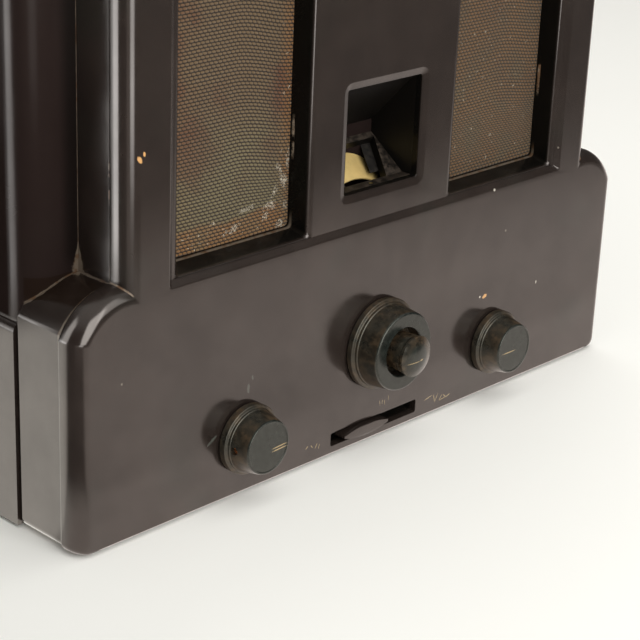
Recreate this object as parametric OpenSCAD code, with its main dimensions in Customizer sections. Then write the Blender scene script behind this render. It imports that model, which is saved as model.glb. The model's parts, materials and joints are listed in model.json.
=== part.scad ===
// Upright tabletop valve radio in a moulded phenolic case.
// Front faces -Y, +X to the right, +Z up. Origin under the middle, at the feet.

/* [Case] */
// Width across the plinth's front bead
plinth_w = 369; // [345:1:400]
// Width across the front block's bead
block_w = 314; // [290:1:330]
// Height of the front block above the case rim
block_h = 446; // [420:1:480]
// Depth of the case, front face to back rim
case_d = 232; // [215:1:260]
// Width of the main body behind the front block
body_w = 362; // [350:1:366]
// Height of the main body above the case rim
body_h = 432; // [410:1:440]
// Distance from the front face back to the body's own front
body_back = 34; // [28:1:40]
// Radius of the body's upright front corners
corner_r = 14; // [8:1:18]
// Radius of the rounded top corners
top_r = 31; // [20:1:40]
// Width of the plinth behind the shoulders
rear_plinth_w = 368; // [367:1:374]
// Height of the ledge round the rear of the plinth
ledge_z = 95; // [90:1:104]
// Rounding of that ledge
ledge_r = 4; // [3:0.5:7]
// Thickness of the front bead band
bead_t = 12.5; // [10:0.5:16]
// Rounding of the bead's front edge
bead_r = 7; // [4:0.5:9]
// How far the sides sit in behind the bead
set_in = 1.5; // [1:0.1:2.5]
// Radius of the plinth's shoulders
shoulder_r = 31; // [26:1:34]
// Height of the centre of the shoulder curve
shoulder_z = 85; // [80:1:90]
// Thickness of the side, top and corner walls
wall = 4.5; // [3.5:0.1:6]
// Thickness of the front wall
front_wall = 7; // [6:0.1:8]
// Bevel along the bottom front edge
rim_bevel = 1.2; // [0.6:0.1:2]
// Radius of the plinth's bottom corners, seen from the front
foot_corner_r = 4; // [2:0.5:6]

/* [Front panel] */
// Width of the shallow recess in the front block
recess_w = 268; // [250:1:280]
// Bottom of the recess
recess_z0 = 111; // [105:0.5:118]
// Top of the recess
recess_z1 = 397; // [380:1:410]
// Depth of the recess
recess_depth = 2.3; // [1.5:0.1:3]
// Width of the recess's bevelled border
recess_bevel = 3; // [2:0.1:4]
// Width over both speaker openings
openings_w = 259; // [240:1:261]
// Width of the pillar between the openings
pillar_w = 92.6; // [80:0.2:100]
// Distance from the front face back to the speaker cloth
cloth_y = 15; // [12:0.5:18]
// Sideways splay of the pillar's reveals
splay = 3.7; // [1:0.1:6]
// Rise of the sills towards the cloth
sill_rise = 3; // [1:0.1:5]
// Width of the dial window
window_w = 50; // [44:0.5:54]
// Height of the dial window's sill
window_z0 = 128.3; // [126:0.1:132]
// Height of the dial window's head
window_z1 = 178; // [170:1:180]
// Width of the bevel round the dial window
window_bevel = 3.5; // [2:0.1:4]
// Depth of that bevel
window_bevel_depth = 1.2; // [0.6:0.1:2]
// Half the distance between the two outer knobs
knob_x = 87.8; // [80:0.1:95]
// Height of the two outer knobs' axes
knob_z = 27.9; // [25:0.1:32]
// Height of the tuning knob's axis
tune_z = 50.8; // [47:0.1:54]
// Height of the lever slot's centre line
slot_z = 8; // [7.5:0.1:9.5]
// Length of the lever slot
slot_l = 61; // [54:1:64]
// Height of the lever slot
slot_h = 6.6; // [6.4:0.1:7.4]
// Radius of the slot's corners
slot_r = 1; // [0.5:0.1:2]

/* [Knobs] */
// Air gap between a knob and the panel
knob_gap = 0.8; // [0.5:0.1:1.5]
// Radius of an outer knob's flange
small_flange_r = 16.8; // [15:0.1:19]
// Radius of an outer knob's front disc
small_front_r = 12.7; // [11:0.1:14]
// How far an outer knob stands out
small_reach = 15.5; // [13:0.1:20]
// Radius of the tuning knob's flange
big_flange_r = 22.9; // [21:0.1:25]
// Radius of the tuning knob's ring face
big_front_r = 19.2; // [17:0.1:21]
// How far the tuning knob stands out
big_reach = 16.8; // [14:0.1:20]
// Radius of the well in the tuning knob's face
well_r = 12; // [11.2:0.1:14]
// Radius of the inner trimmer knob's cap
cap_r = 10.2; // [9:0.1:11]
// How far the trimmer knob's cap edge stands out
cap_reach = 24.2; // [22:0.1:27]
// Height of the trimmer knob's dome
dome_h = 2.3; // [1:0.1:3]
// Length of the lever's tongue
tongue_l = 31; // [24:0.5:32]
// Thickness of the lever's tongue
tongue_h = 6; // [5:0.1:6.2]
// How far the lever's tongue stands out
tongue_reach = 2.8; // [2:0.1:5]
// How far left of the middle the lever rests
lever_rest = 8.1; // [6:0.1:13]

/* [Shafts] */
// Radius of the volume, tone and tuning gang spindles
spindle_r = 3.1; // [2.9:0.05:3.3]
// Outside radius of the hollow tuning spindle
tube_r = 5; // [4.5:0.1:5.5]
// Radius of the trimmer spindle inside it
inner_r = 2.4; // [2:0.05:2.7]
// Running clearance on every turning shaft
run_gap = 0.06; // [0.03:0.01:0.1]
// Radius of a grub screw
grub_r = 1.7; // [1.5:0.05:2]
// Groove radius of the tuning drive roller
roller_r = 4; // [3.6:0.1:4.4]
// Height of the dial wheel's axis
dial_z = 97.2; // [96.8:0.1:98]
// Distance back to the drive disc
disc_y = 38.5; // [38:0.1:38.8]
// Thickness of the drive disc
disc_t = 1.5; // [1:0.1:2]

/* [Dial] */
// Distance back to the foot of the sloping hood
hood_y0 = 12.9; // [11:0.1:14]
// Distance back to the top of the sloping hood
hood_y1 = 37.5; // [35:0.1:39]
// Height of the top of the sloping hood
hood_z1 = 146; // [143:0.1:148]
// Thickness of the hood, square to its slope
hood_t = 4.4; // [3.5:0.1:5]
// Half width of the hood's opening at its foot
hood_foot = 14; // [12:0.1:16]
// Half width of the hood's opening at its top
hood_top = 24.2; // [22:0.1:24.5]
// Length of the hood's opening up the slope
hood_open = 22.5; // [20:0.1:24]
// Wall of the dial housing
house_wall = 2; // [1.6:0.1:2.4]
// Half width of the mask's opening at its foot
mask_foot = 10; // [8:0.1:12]
// Half width of the mask's opening at its top
mask_top = 18; // [16:0.1:20]
// Thickness of the mask
mask_t = 0.5; // [0.4:0.1:0.8]
// Front radius of the conical scale
scale_r0 = 30.2; // [29.5:0.1:30.5]
// Back radius of the conical scale
scale_r1 = 41.8; // [41:0.1:42]
// Distance back to the scale's front edge
scale_y0 = 20.8; // [20:0.1:22]
// Thickness of the scale
scale_t = 0.8; // [0.6:0.1:1.2]

/* [Chassis] */
// Width of the chassis tray
chassis_w = 300; // [280:1:310]
// Distance back to the chassis's front
chassis_y0 = 44; // [43:0.5:48]
// Room between the chassis's back and the case's back rim
chassis_room = 26; // [20:1:36]
// Height of the chassis deck
deck_z = 64; // [60:1:66]
// Height of the chassis's side flanges
flange_z = 12; // [11:0.5:14]
// Sheet thickness of the chassis
sheet = 1.6; // [1.2:0.1:2]
// Half the distance between the chassis bolts, across
bolt_x = 163; // [158:0.5:165]
// Distance back to the front chassis bolts
bolt_y0 = 62; // [55:1:70]
// Distance from the case's back rim to the rear chassis bolts
bolt_room = 42; // [38:1:50]
// Radius of the chassis bolts
bolt_r = 2.5; // [2:0.1:3]
// Radius of a rubber foot
foot_r = 11; // [9:0.5:13]
// Height the feet stand out below the case rim
foot_h = 1.5; // [1:0.1:3]
// Thickness of the base cover
base_t = 2; // [1.5:0.1:3]
// Thickness of the back cover
back_t = 3; // [2:0.1:4]
// Height of a back screw's head
head_h = 2.2; // [1.5:0.1:3]

/* [Speaker] */
// Height of the loudspeaker's axis
speaker_z = 288; // [286:1:292]
// Radius of the loudspeaker's flange
speaker_r = 103; // [95:1:104]
// Thickness of the baffle board
baffle_t = 8; // [6:0.5:10]
// Thickness of the speaker cloth
cloth_t = 0.4; // [0.3:0.1:0.8]
// Depth of the loudspeaker's basket
basket_d = 38; // [34:1:44]
// Radius of the magnet pot
pot_r = 40; // [34:1:46]
// Length of the magnet pot
pot_l = 48; // [40:1:60]

/* [Valves] */
// Radius of a valve's glass bulb
bulb_r = 21; // [18:0.5:22]
// Length of the bulb's straight side
bulb_l = 52; // [40:1:60]
// Radius of a valve's base
valve_base_r = 16.5; // [14:0.5:18]
// Height of a valve's base
valve_base_h = 30; // [24:1:34]
// Height of a valve holder
holder_h = 7; // [5:0.5:9]
// Height of the electrolytic cans
can_h = 105; // [90:1:115]
// Height of the coil cans
coil_h = 70; // [60:1:80]

/* [Transformers] */
// Width of the mains transformer's laminations
mains_w = 68; // [60:1:76]
// Depth of the mains transformer's laminations
mains_d = 48; // [40:1:52]
// Height of the mains transformer
mains_h = 66; // [56:1:76]
// Width of the output transformer's laminations
output_w = 36; // [30:1:38]
// Height of the output transformer's laminations
output_h = 34; // [28:1:36]
// Depth of the output transformer
output_d = 36; // [28:1:40]
// Width of the smoothing choke
choke_w = 54; // [46:1:56]
// Depth of the smoothing choke
choke_d = 40; // [34:1:42]
// Distance between the rear sockets
socket_pitch = 17; // [15:0.5:18]
// Radius of a rear socket's hole
socket_r = 2; // [1.9:0.05:2.2]

/* [Hidden] */
$fn = 64;
lens_facets = 256;
over = 1;
front_y = -(case_d + head_h - (cap_reach + dome_h)) / 2;
plinth_half = plinth_w / 2;
block_half = block_w / 2;
body_half = body_w / 2;
side_half = plinth_half - set_in;
shoulder_x = block_half - 1;
set_shoulder_r = shoulder_r + 2;
set_shoulder_z = shoulder_z + shoulder_r - set_in - set_shoulder_r;
cavity_half = side_half - wall;
base_z0 = 4;
chassis_y1 = case_d - chassis_room;
bolt_y1 = case_d - bolt_room;
boss_z0 = base_z0 + base_t;
disc_r = dial_z - tune_z - roller_r - 0.05;
neck_r = roller_r - 0.6;
slope_y = hood_y1 - hood_y0;
slope_z = hood_z1 - window_z0;
slope_len = sqrt(slope_y * slope_y + slope_z * slope_z);
slope_a = atan2(slope_z, slope_y);
window_half = window_w / 2;
house_y1 = hood_y1 + hood_t * sin(slope_a);
lug_x = 34;
lamp_z = 112;
lug_z = 157;
post_z = [30, 225, 392];
post_x = 169;
baffle_y1 = cloth_y + cloth_t + baffle_t;
baffle_bolt_x = 145.5;
baffle_bolt_z = [128, 384];
flange_t = 1.6;
basket_y = baffle_y1 + flange_t;
basket_y1 = basket_y + basket_d;
speaker_bolt_r = 97;
rim_r = speaker_r - 12;
cone_t = 0.8;
valve_at = [[76, 80], [128, 84], [128, 140], [78, 136], [-100, 86]];
can_at = [[-20, 166], [26, 166]];
coil_at = [[-50, 75], [-50, 112]];
gang_y0 = 52;
gang_y1 = 128;
gang_half = 31;
vane_r = 25;
vane_pitch = 2.6;
vane_n = 5;
gang_z = [60, 83, 106];
dash_y = chassis_y0;
mains_at = [-106, chassis_y1 - 50];
output_at = [-121, 169];
choke_at = [-39, 116];
socket_x = 83;
socket_z = 40;
sockets = [socket_x - socket_pitch, socket_x, socket_x + socket_pitch];
cord_x = -95;
cord_z = 38;
switch_half = 64;
screw_gap = 0.1;

// ---- helpers ----
module place() {
  translate([0, front_y, foot_h]) children();
}
module box(a, b) {
  translate(a) cube([b[0] - a[0], b[1] - a[1], b[2] - a[2]]);
}
module rod(x, z, y0, y1, r) {
  translate([x, y0, z]) rotate([-90, 0, 0]) cylinder(r = r, h = y1 - y0);
}
module post(x, y, z0, z1, r) {
  translate([x, y, z0]) cylinder(r = r, h = z1 - z0);
}
module pair() {
  children();
  mirror([1, 0, 0]) children();
}
module side_prism(x0, x1, pts) {
  translate([x0, 0, 0]) rotate([90, 0, 90]) linear_extrude(height = x1 - x0) polygon(pts);
}
module turned_back(x, z, pts) {
  translate([x, 0, z]) rotate([-90, 0, 0]) rotate_extrude() polygon(pts);
}

// ---- case ----
module edged_prism(half, h, y0, y1, r) {
  box([-half + r, y0, 0], [half - r, y1, h]);
  box([-half, y0 + r, 0], [half, y1, h]);
  pair() translate([half - r, y0 + r, 0]) cylinder(r = r, h = h);
}
module round_top(cx, top, ra, y0, y1, reach) {
  pair() rod(cx, top - ra, y0, y1, ra);
  box([-cx, y0, 0], [cx, y1, top]);
  box([-reach, y0, 0], [reach, y1, top - ra]);
}
module beaded_top(cx, top, ra, t, r, reach) {
  cz = top - ra;
  pair() translate([cx, t, cz]) rotate([90, 0, 0]) rotate_extrude(angle = 90) union() {
    square([ra - r, t]);
    square([ra, t - r]);
    translate([ra - r, t - r]) circle(r = r);
  }
  box([-cx, r, 0], [cx, t, top]);
  box([-cx, 0, 0], [cx, t, top - r]);
  translate([-cx, r, top - r]) rotate([0, 90, 0]) cylinder(r = r, h = 2 * cx);
  box([-reach, 0, 0], [reach, t, cz]);
}
module case_outer() {
  intersection() {
    edged_prism(plinth_half, shoulder_z + shoulder_r + over, 0, bead_t, bead_r);
    beaded_top(shoulder_x, shoulder_z + shoulder_r, shoulder_r, bead_t, bead_r, plinth_half + 5);
  }
  intersection() {
    edged_prism(block_half, block_h + over, 0, bead_t, bead_r);
    beaded_top(block_half - top_r, block_h, top_r + 0.4, bead_t, bead_r, block_half + 5);
  }
  round_top(block_half - top_r, block_h - set_in, top_r - set_in, bead_t - 0.5, body_back + 2,
            block_half - set_in);
  intersection() {
    box([-side_half, bead_t - 0.5, 0], [side_half, body_back + 7, shoulder_z + shoulder_r]);
    round_top(shoulder_x - 1, set_shoulder_z + set_shoulder_r, set_shoulder_r, bead_t - over,
              body_back + 8, side_half + 5);
  }
  intersection() {
    edged_prism(body_half, body_h + over, body_back, case_d, corner_r);
    round_top(body_half - top_r, body_h, top_r + 0.6, body_back - over, case_d + over, body_half + 5);
  }
  box([-rear_plinth_w / 2 + ledge_r, body_back + 8.5, 0],
      [rear_plinth_w / 2 - ledge_r, case_d, ledge_z]);
  box([-rear_plinth_w / 2, body_back + 8.5, 0],
      [rear_plinth_w / 2, case_d, ledge_z - ledge_r]);
  pair() rod(rear_plinth_w / 2 - ledge_r, ledge_z - ledge_r, body_back + 8.5, case_d, ledge_r);
}
module case_cavity() {
  intersection() {
    edged_prism(body_half - wall, body_h, body_back + wall, case_d + over, corner_r - wall);
    round_top(body_half - top_r, body_h - wall, top_r - wall, body_back + wall, case_d + over,
              body_half);
  }
  round_top(block_half - top_r, block_h - set_in - wall, top_r - set_in - wall, front_wall,
            body_back + 2 - wall, block_half - set_in - wall);
  intersection() {
    round_top(block_half - top_r, block_h - set_in - wall, top_r - set_in - wall, front_wall,
              body_back + wall + over, block_half - set_in - wall);
    box([-body_half, front_wall, -over], [body_half, body_back + wall + over, body_h - wall]);
  }
  box([-cavity_half, front_wall, -over], [cavity_half, case_d + over, shoulder_z - 5]);
  intersection() {
    box([-cavity_half, front_wall, 0], [cavity_half, body_back + 7 - wall, shoulder_z + shoulder_r]);
    round_top(shoulder_x - 1, set_shoulder_z + set_shoulder_r - wall, set_shoulder_r - wall,
              front_wall - over, body_back + 7, side_half);
  }
  box([-body_half + wall, body_back + wall, -over], [body_half - wall, case_d + over, shoulder_z]);
}
module recess_cut() {
  intersection() {
    translate([0, 0, recess_z0 - 5]) linear_extrude(height = recess_z1 - recess_z0 + 10) polygon([
      [-recess_w / 2 - recess_bevel, -recess_depth], [recess_w / 2 + recess_bevel, -recess_depth],
      [recess_w / 2 - recess_bevel, recess_depth], [-recess_w / 2 + recess_bevel, recess_depth]]);
    side_prism(-recess_w, recess_w, [
      [-recess_depth, recess_z0 - recess_bevel], [recess_depth, recess_z0 + recess_bevel],
      [recess_depth, recess_z1 - recess_bevel], [-recess_depth, recess_z1 + recess_bevel]]);
  }
}
module opening_cut() {
  y0 = recess_depth - 0.5;
  y1 = cloth_y + 0.5;
  k = splay / (cloth_y - recess_depth);
  m = sill_rise / (cloth_y - recess_depth);
  z0 = recess_z0 + recess_bevel;
  z1 = recess_z1 - recess_bevel;
  intersection() {
    translate([0, 0, z0 - 5]) linear_extrude(height = z1 - z0 + 10) polygon([
      [pillar_w / 2 - 0.5 * k, y0], [openings_w / 2, y0], [openings_w / 2, y1],
      [pillar_w / 2 + (y1 - recess_depth) * k, y1]]);
    side_prism(0, block_half, [
      [y0, z0 - 0.5 * m], [y1, z0 + (y1 - recess_depth) * m],
      [y1, z1 - (y1 - recess_depth) * m], [y0, z1 + 0.5 * m]]);
  }
}
module window_cut() {
  b = window_bevel;
  d = window_bevel_depth;
  y0 = recess_depth;
  box([-window_half, 0, window_z0], [window_half, front_wall + over, window_z1]);
  intersection() {
    translate([0, 0, window_z0 - 8]) linear_extrude(height = window_z1 - window_z0 + 16) polygon([
      [-window_half - 2 * b, y0 - d], [window_half + 2 * b, y0 - d],
      [window_half, y0 + d], [-window_half, y0 + d]]);
    side_prism(-window_w, window_w, [
      [y0 - d, window_z0 - 2 * b], [y0 + d, window_z0],
      [y0 + d, window_z1], [y0 - d, window_z1 + 2 * b]]);
  }
}
module slot_cut() {
  w = slot_l / 2;
  h = slot_h / 2;
  r = slot_r;
  box([-w + r, -over, slot_z - h], [w - r, front_wall + over, slot_z + h]);
  box([-w, -over, slot_z - h + r], [w, front_wall + over, slot_z + h - r]);
  pair() for (s = [-1, 1]) rod(w - r, slot_z + s * (h - r), -over, front_wall + over, r);
}
module foot_corner_cut() {
  r = foot_corner_r;
  y1 = body_back + 7.5;
  pair() difference() {
    box([plinth_half - r, -over, -over], [plinth_half + over, y1, r]);
    rod(plinth_half - r, r, -2 * over, y1 + over, r);
  }
}
module cabinet() {
  color([0.10, 0.07, 0.06]) place() difference() {
    union() {
      difference() {
        case_outer();
        case_cavity();
      }
      pair() box([pillar_w / 2 - 4, front_wall - 0.5, recess_z0 - 3],
                 [openings_w / 2 + 6, cloth_y, recess_z1 + 3]);
      pair() for (z = baffle_bolt_z)
        box([openings_w / 2 + 5, front_wall - 0.5, z - 8], [block_half - set_in - 1, cloth_y, z + 8]);
      pair() for (z = post_z)
        box([post_x - 7, case_d - back_t - 14, z - 7], [body_half - 1, case_d - back_t, z + 7]);
      pair() for (y = [bolt_y0, bolt_y1])
        box([bolt_x - 13, y - 12, boss_z0], [cavity_half + 1, y + 12, flange_z]);
    }
    recess_cut();
    pair() opening_cut();
    window_cut();
    slot_cut();
    foot_corner_cut();
    pair() rod(knob_x, knob_z, -over, front_wall + over, spindle_r + 2);
    rod(0, tune_z, -over, front_wall + over, tube_r + 2);
    pair() rod(lug_x, lug_z, front_wall - 3.4, front_wall + over, 1.4);
    pair() for (z = baffle_bolt_z) rod(baffle_bolt_x, z, cloth_y - 7, cloth_y + over, 1.6);
    pair() for (z = post_z) rod(post_x, z, case_d - back_t - 12, case_d, 1.6);
    pair() for (y = [bolt_y0, bolt_y1]) post(bolt_x, y, 0, flange_z + over, bolt_r + 0.4);
    side_prism(-plinth_w, plinth_w, [[-over, -over], [rim_bevel + over, -over], [-over, rim_bevel + over]]);
  }
}

// ---- covers, feet and fixings ----
module back_cover() {
  g = 0.5;
  color([0.30, 0.20, 0.13]) place() difference() {
    intersection() {
      round_top(body_half - top_r, body_h - wall - g, top_r - wall, case_d - back_t, case_d,
                body_half - wall - g);
      box([-body_half, 0, 8], [body_half, case_d + over, body_h]);
    }
    for (z = [110 : 24 : 398]) for (s = [-1, 0, 1])
      box([s * 100 - 36, case_d - back_t - over, z], [s * 100 + 36, case_d + over, z + 6]);
    box([sockets[0] - 18, case_d - back_t - over, socket_z - 16],
        [sockets[2] + 18, case_d + over, socket_z + 16]);
    rod(cord_x, cord_z, case_d - back_t - over, case_d + over, 15);
    pair() for (z = post_z) rod(post_x, z, case_d - back_t - over, case_d + over, 2.1);
  }
}
module back_screws() {
  color([0.45, 0.42, 0.36]) place() pair() for (z = post_z) difference() {
    union() {
      rod(post_x, z, case_d - back_t - 11, case_d + 0.5, 1.5);
      rod(post_x, z, case_d, case_d + head_h, 4);
    }
    box([post_x - 5, case_d + head_h - 1, z - 0.5], [post_x + 5, case_d + head_h + over, z + 0.5]);
  }
}
module base_cover() {
  w = cavity_half - 1;
  color([0.33, 0.24, 0.16]) place() difference() {
    box([-w, front_wall + 1, base_z0], [w, case_d - back_t - 1, boss_z0]);
    box([-66, front_wall, base_z0 - over], [66, dash_y + 2, boss_z0 + over]);
    pair() for (y = [bolt_y0, bolt_y1]) post(bolt_x, y, base_z0 - over, boss_z0 + over, bolt_r + 0.4);
    for (x = [-110 : 44 : 110]) for (y = [90, 120, 150, 180]) post(x, y, base_z0 - over, boss_z0 + over, 5);
  }
}
module rubber_feet() {
  color([0.06, 0.06, 0.06]) place() pair() for (y = [bolt_y0, bolt_y1]) difference() {
    post(bolt_x, y, -foot_h, base_z0, foot_r);
    post(bolt_x, y, -foot_h - over, base_z0 - 1.5, 6);
    post(bolt_x, y, 0, base_z0 + over, bolt_r + 0.3);
  }
}
module chassis_bolts() {
  z0 = base_z0 - 1.5;
  z1 = flange_z + sheet;
  color([0.50, 0.47, 0.40]) place() pair() for (y = [bolt_y0, bolt_y1]) {
    difference() {
      union() {
        post(bolt_x, y, z0 - 2.6, z0, 4.6);
        post(bolt_x, y, z0 - 0.5, z1 + 8, bolt_r);
      }
      box([bolt_x - 6, y - 0.6, z0 - 4], [bolt_x + 6, y + 0.6, z0 - 1.4]);
    }
    difference() {
      translate([bolt_x, y, z1]) cylinder(r = 5, h = 4, $fn = 6);
      post(bolt_x, y, z1 - over, z1 + 5, bolt_r + 0.1);
    }
  }
}
module baffle_board() {
  w = block_half - set_in - wall - 1;
  color([0.50, 0.38, 0.24]) place() difference() {
    box([-w, cloth_y + cloth_t, recess_z0 - 6], [w, baffle_y1, recess_z1 + 20]);
    rod(0, speaker_z, cloth_y, baffle_y1 + over, speaker_r - 18);
    box([-43, cloth_y, recess_z0 - 8], [43, baffle_y1 + over, window_z1 + 8]);
    pair() for (z = baffle_bolt_z) rod(baffle_bolt_x, z, cloth_y, baffle_y1 + over, 2);
    for (a = [45 : 90 : 315]) {
      x = speaker_bolt_r * cos(a);
      z = speaker_z + speaker_bolt_r * sin(a);
      rod(x, z, cloth_y, baffle_y1 + over, 2.1);
      rod(x, z, cloth_y, cloth_y + cloth_t + 2, 4.5);
    }
  }
}
module baffle_screws() {
  color([0.50, 0.47, 0.40]) place() pair() for (z = baffle_bolt_z) {
    rod(baffle_bolt_x, z, cloth_y - 6, baffle_y1 + 0.5, 1.5);
    rod(baffle_bolt_x, z, baffle_y1, baffle_y1 + 2.4, 3.8);
  }
}
module speaker_cloth() {
  w = openings_w / 2 + 5;
  color([0.55, 0.47, 0.33]) place() difference() {
    box([-w, cloth_y, recess_z0 - 2], [w, cloth_y + cloth_t, recess_z1 + 2]);
    box([-43, cloth_y - over, recess_z0 - 4], [43, cloth_y + over, window_z1 + 8]);
  }
}

// ---- dial ----
module on_slope(v, n) {
  translate([0, hood_y0, window_z0]) rotate([slope_a, 0, 0]) translate([0, v, n]) children();
}
module dial_escutcheon() {
  w = window_half + house_wall;
  dz = hood_t * cos(slope_a);
  rear_y = hood_y0 + hood_t / sin(slope_a);
  color([0.13, 0.10, 0.09]) place() difference() {
    union() {
      // floor, side walls, sloping hood and ceiling in one shell
      difference() {
        side_prism(-w, w, [
          [front_wall, window_z0 - house_wall], [hood_y0 + 5, window_z0 - house_wall],
          [rear_y, window_z0], [house_y1, hood_z1 - dz], [house_y1, hood_z1 + 0.5],
          [front_wall, window_z1 + house_wall]]);
        side_prism(-window_half, window_half, [
          [front_wall - over, window_z0], [hood_y0, window_z0], [hood_y1, hood_z1],
          [front_wall, window_z1], [front_wall - over, window_z1]]);
      }
      // lugs
      pair() box([w - 0.5, front_wall, lug_z - 7], [lug_x + 6, front_wall + 2, lug_z + 7]);
    }
    // opening in the hood, square to the slope
    intersection() {
      on_slope(0, -hood_t - 3) linear_extrude(height = hood_t + 6) polygon([
        [-hood_foot + 3.5, -8], [hood_foot - 3.5, -8], [hood_top, hood_open], [-hood_top, hood_open]]);
      box([-w, hood_y0, window_z0 - 20], [w, house_y1 + over, window_z1]);
    }
    pair() rod(lug_x, lug_z, front_wall - over, front_wall + 3, 1.7);
    post(0, 10, window_z0 - house_wall - over, window_z0 + over, 1.2);
  }
}
module escutcheon_screws() {
  color([0.55, 0.50, 0.35]) place() pair() {
    rod(lug_x, lug_z, front_wall - 3, front_wall + 2.5, 1.3);
    rod(lug_x, lug_z, front_wall + 2, front_wall + 4, 3);
  }
}
module dial_mask() {
  color([0.03, 0.03, 0.03]) place() difference() {
    intersection() {
      on_slope(0, -hood_t - mask_t) translate([-window_half, 5, 0]) cube([window_w, slope_len - 6, mask_t]);
      box([-window_half, 0, window_z0], [window_half, house_y1 + 9, hood_z1]);
    }
    on_slope(0, -hood_t - mask_t - 3) linear_extrude(height = mask_t + 6) polygon([
      [-mask_foot + 3, -4], [mask_foot - 3, -4], [mask_top, hood_open + 1], [-mask_top, hood_open + 1]]);
  }
}
module tuning_scale() {
  k = (scale_r1 - scale_r0) / (disc_y - 1 - scale_y0);
  color([0.90, 0.80, 0.52]) place() turned_back(0, dial_z, [
    [scale_r0, scale_y0], [scale_r1, disc_y - 1], [scale_r1, disc_y], [scale_r1 - 6, disc_y],
    [scale_r1 - 6, disc_y - scale_t], [scale_r1 - 2 * scale_t, disc_y - scale_t],
    [scale_r0 - 0.6, scale_y0 + 0.6 * k]]);
}
module drive_disc() {
  color([0.62, 0.60, 0.55]) place() difference() {
    union() {
      rod(0, dial_z, disc_y, disc_y + disc_t, disc_r);
      rod(0, dial_z, disc_y + disc_t - 0.2, disc_y + 9, 8);
    }
    rod(0, dial_z, disc_y - over, disc_y + 10, spindle_r);
    for (a = [30 : 60 : 330])
      rod(20 * sin(a), dial_z + 20 * cos(a), disc_y - over, disc_y + disc_t + over, 5);
  }
}
module dial_lamp() {
  color([1, 0.93, 0.75, 0.5]) place() {
    rod(0, lamp_z, 18, 22.2, 4);
    translate([0, 26, lamp_z]) sphere(r = 5.5);
  }
}
module lamp_holder() {
  color([0.72, 0.58, 0.30]) place() difference() {
    union() {
      box([-5, 9, 108], [5, 10, window_z0 - house_wall]);
      box([-5, 9, window_z0 - house_wall - 1], [5, hood_y0, window_z0 - house_wall]);
      rod(0, lamp_z, 9.5, 20, 5.2);
      post(0, 10, window_z0 - house_wall - 3, window_z0 - 0.2, 1.1);
    }
    rod(0, lamp_z, 18, 21, 4);
  }
}

// ---- chassis ----
module chassis() {
  h = chassis_w / 2;
  color([0.42, 0.43, 0.42]) place() difference() {
    union() {
      box([-h, dash_y, deck_z - sheet], [h, chassis_y1, deck_z]);
      box([-h, dash_y, flange_z], [h, dash_y + sheet, deck_z]);
      box([-h, chassis_y1 - sheet, flange_z], [h, chassis_y1, deck_z]);
      pair() box([h - sheet, dash_y, flange_z], [h, chassis_y1, deck_z]);
      pair() box([h - sheet, dash_y + 4, flange_z], [bolt_x + 9, chassis_y1 - 2, flange_z + sheet]);
    }
    pair() for (y = [bolt_y0, bolt_y1]) post(bolt_x, y, flange_z - over, flange_z + 3, bolt_r + 0.3);
    pair() rod(knob_x, knob_z, dash_y - over, dash_y + 3, 5.1);
    rod(0, tune_z, dash_y - over, dash_y + 3, tube_r + 1.6);
    for (p = valve_at) post(p[0], p[1], deck_z - 3, deck_z + over, 12);
    for (x = sockets) rod(x, socket_z, chassis_y1 - 3, chassis_y1 + over, socket_r + 2);
    rod(cord_x, cord_z, chassis_y1 - 3, chassis_y1 + over, 8);
  }
}
module gang_frame() {
  z0 = deck_z;
  z1 = dial_z + 30;
  color([0.66, 0.66, 0.62]) place() difference() {
    union() {
      box([-gang_half, gang_y0, z0], [gang_half, gang_y1, z0 + 2]);
      box([-gang_half, gang_y0, z0], [gang_half, gang_y0 + 2, z1]);
      box([-gang_half, gang_y1 - 2, z0], [gang_half, gang_y1, z1]);
      for (y = [gang_y0 + 24.5, gang_y0 + 48]) box([-gang_half, y, z0], [gang_half, y + 1.2, z1]);
      box([gang_half - 2, gang_y0, z1 - 5], [gang_half, gang_y1, z1]);
    }
    rod(0, dial_z, gang_y0 - over, gang_y1 + over, spindle_r + run_gap);
  }
}
module gang_stators() {
  color([0.80, 0.80, 0.78]) place() {
    for (g = gang_z) for (i = [0 : vane_n]) intersection() {
      difference() {
        rod(0, dial_z, g + (i - 0.5) * vane_pitch - 0.3, g + (i - 0.5) * vane_pitch + 0.3, vane_r + 3);
        rod(0, dial_z, g - 5, g + 20, 7);
      }
      box([-vane_r - 3, 0, dial_z - vane_r], [-0.6, 200, dial_z + vane_r]);
    }
    for (g = gang_z)
      box([-vane_r - 4, g - vane_pitch / 2 - 0.3, dial_z - 4],
          [-vane_r - 2, g + (vane_n - 0.5) * vane_pitch + 0.3, dial_z + 4]);
  }
}
module stator_bars() {
  color([0.45, 0.28, 0.14]) place() for (y = [gang_y0 + 2, gang_y0 + 25.7, gang_y0 + 49.2])
    box([-vane_r - 5.5, y, dial_z - 3],
        [-vane_r - 4, y == gang_y0 + 2 ? gang_y0 + 24.5 : y == gang_y0 + 25.7 ? gang_y0 + 48 : gang_y1 - 2,
         dial_z + 3]);
}
module gang_rotor() {
  color([0.78, 0.78, 0.74]) place() {
    rod(0, dial_z, disc_y - 3, gang_y1 + 3, spindle_r);
    for (g = gang_z) {
      rod(0, dial_z, g - 1.6, g + (vane_n - 1) * vane_pitch + 1.6, 4.6);
      for (i = [0 : vane_n - 1]) intersection() {
        rod(0, dial_z, g + i * vane_pitch - 0.3, g + i * vane_pitch + 0.3, vane_r);
        box([-vane_r, 0, dial_z], [vane_r, 200, dial_z + vane_r]);
      }
    }
  }
}
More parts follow.
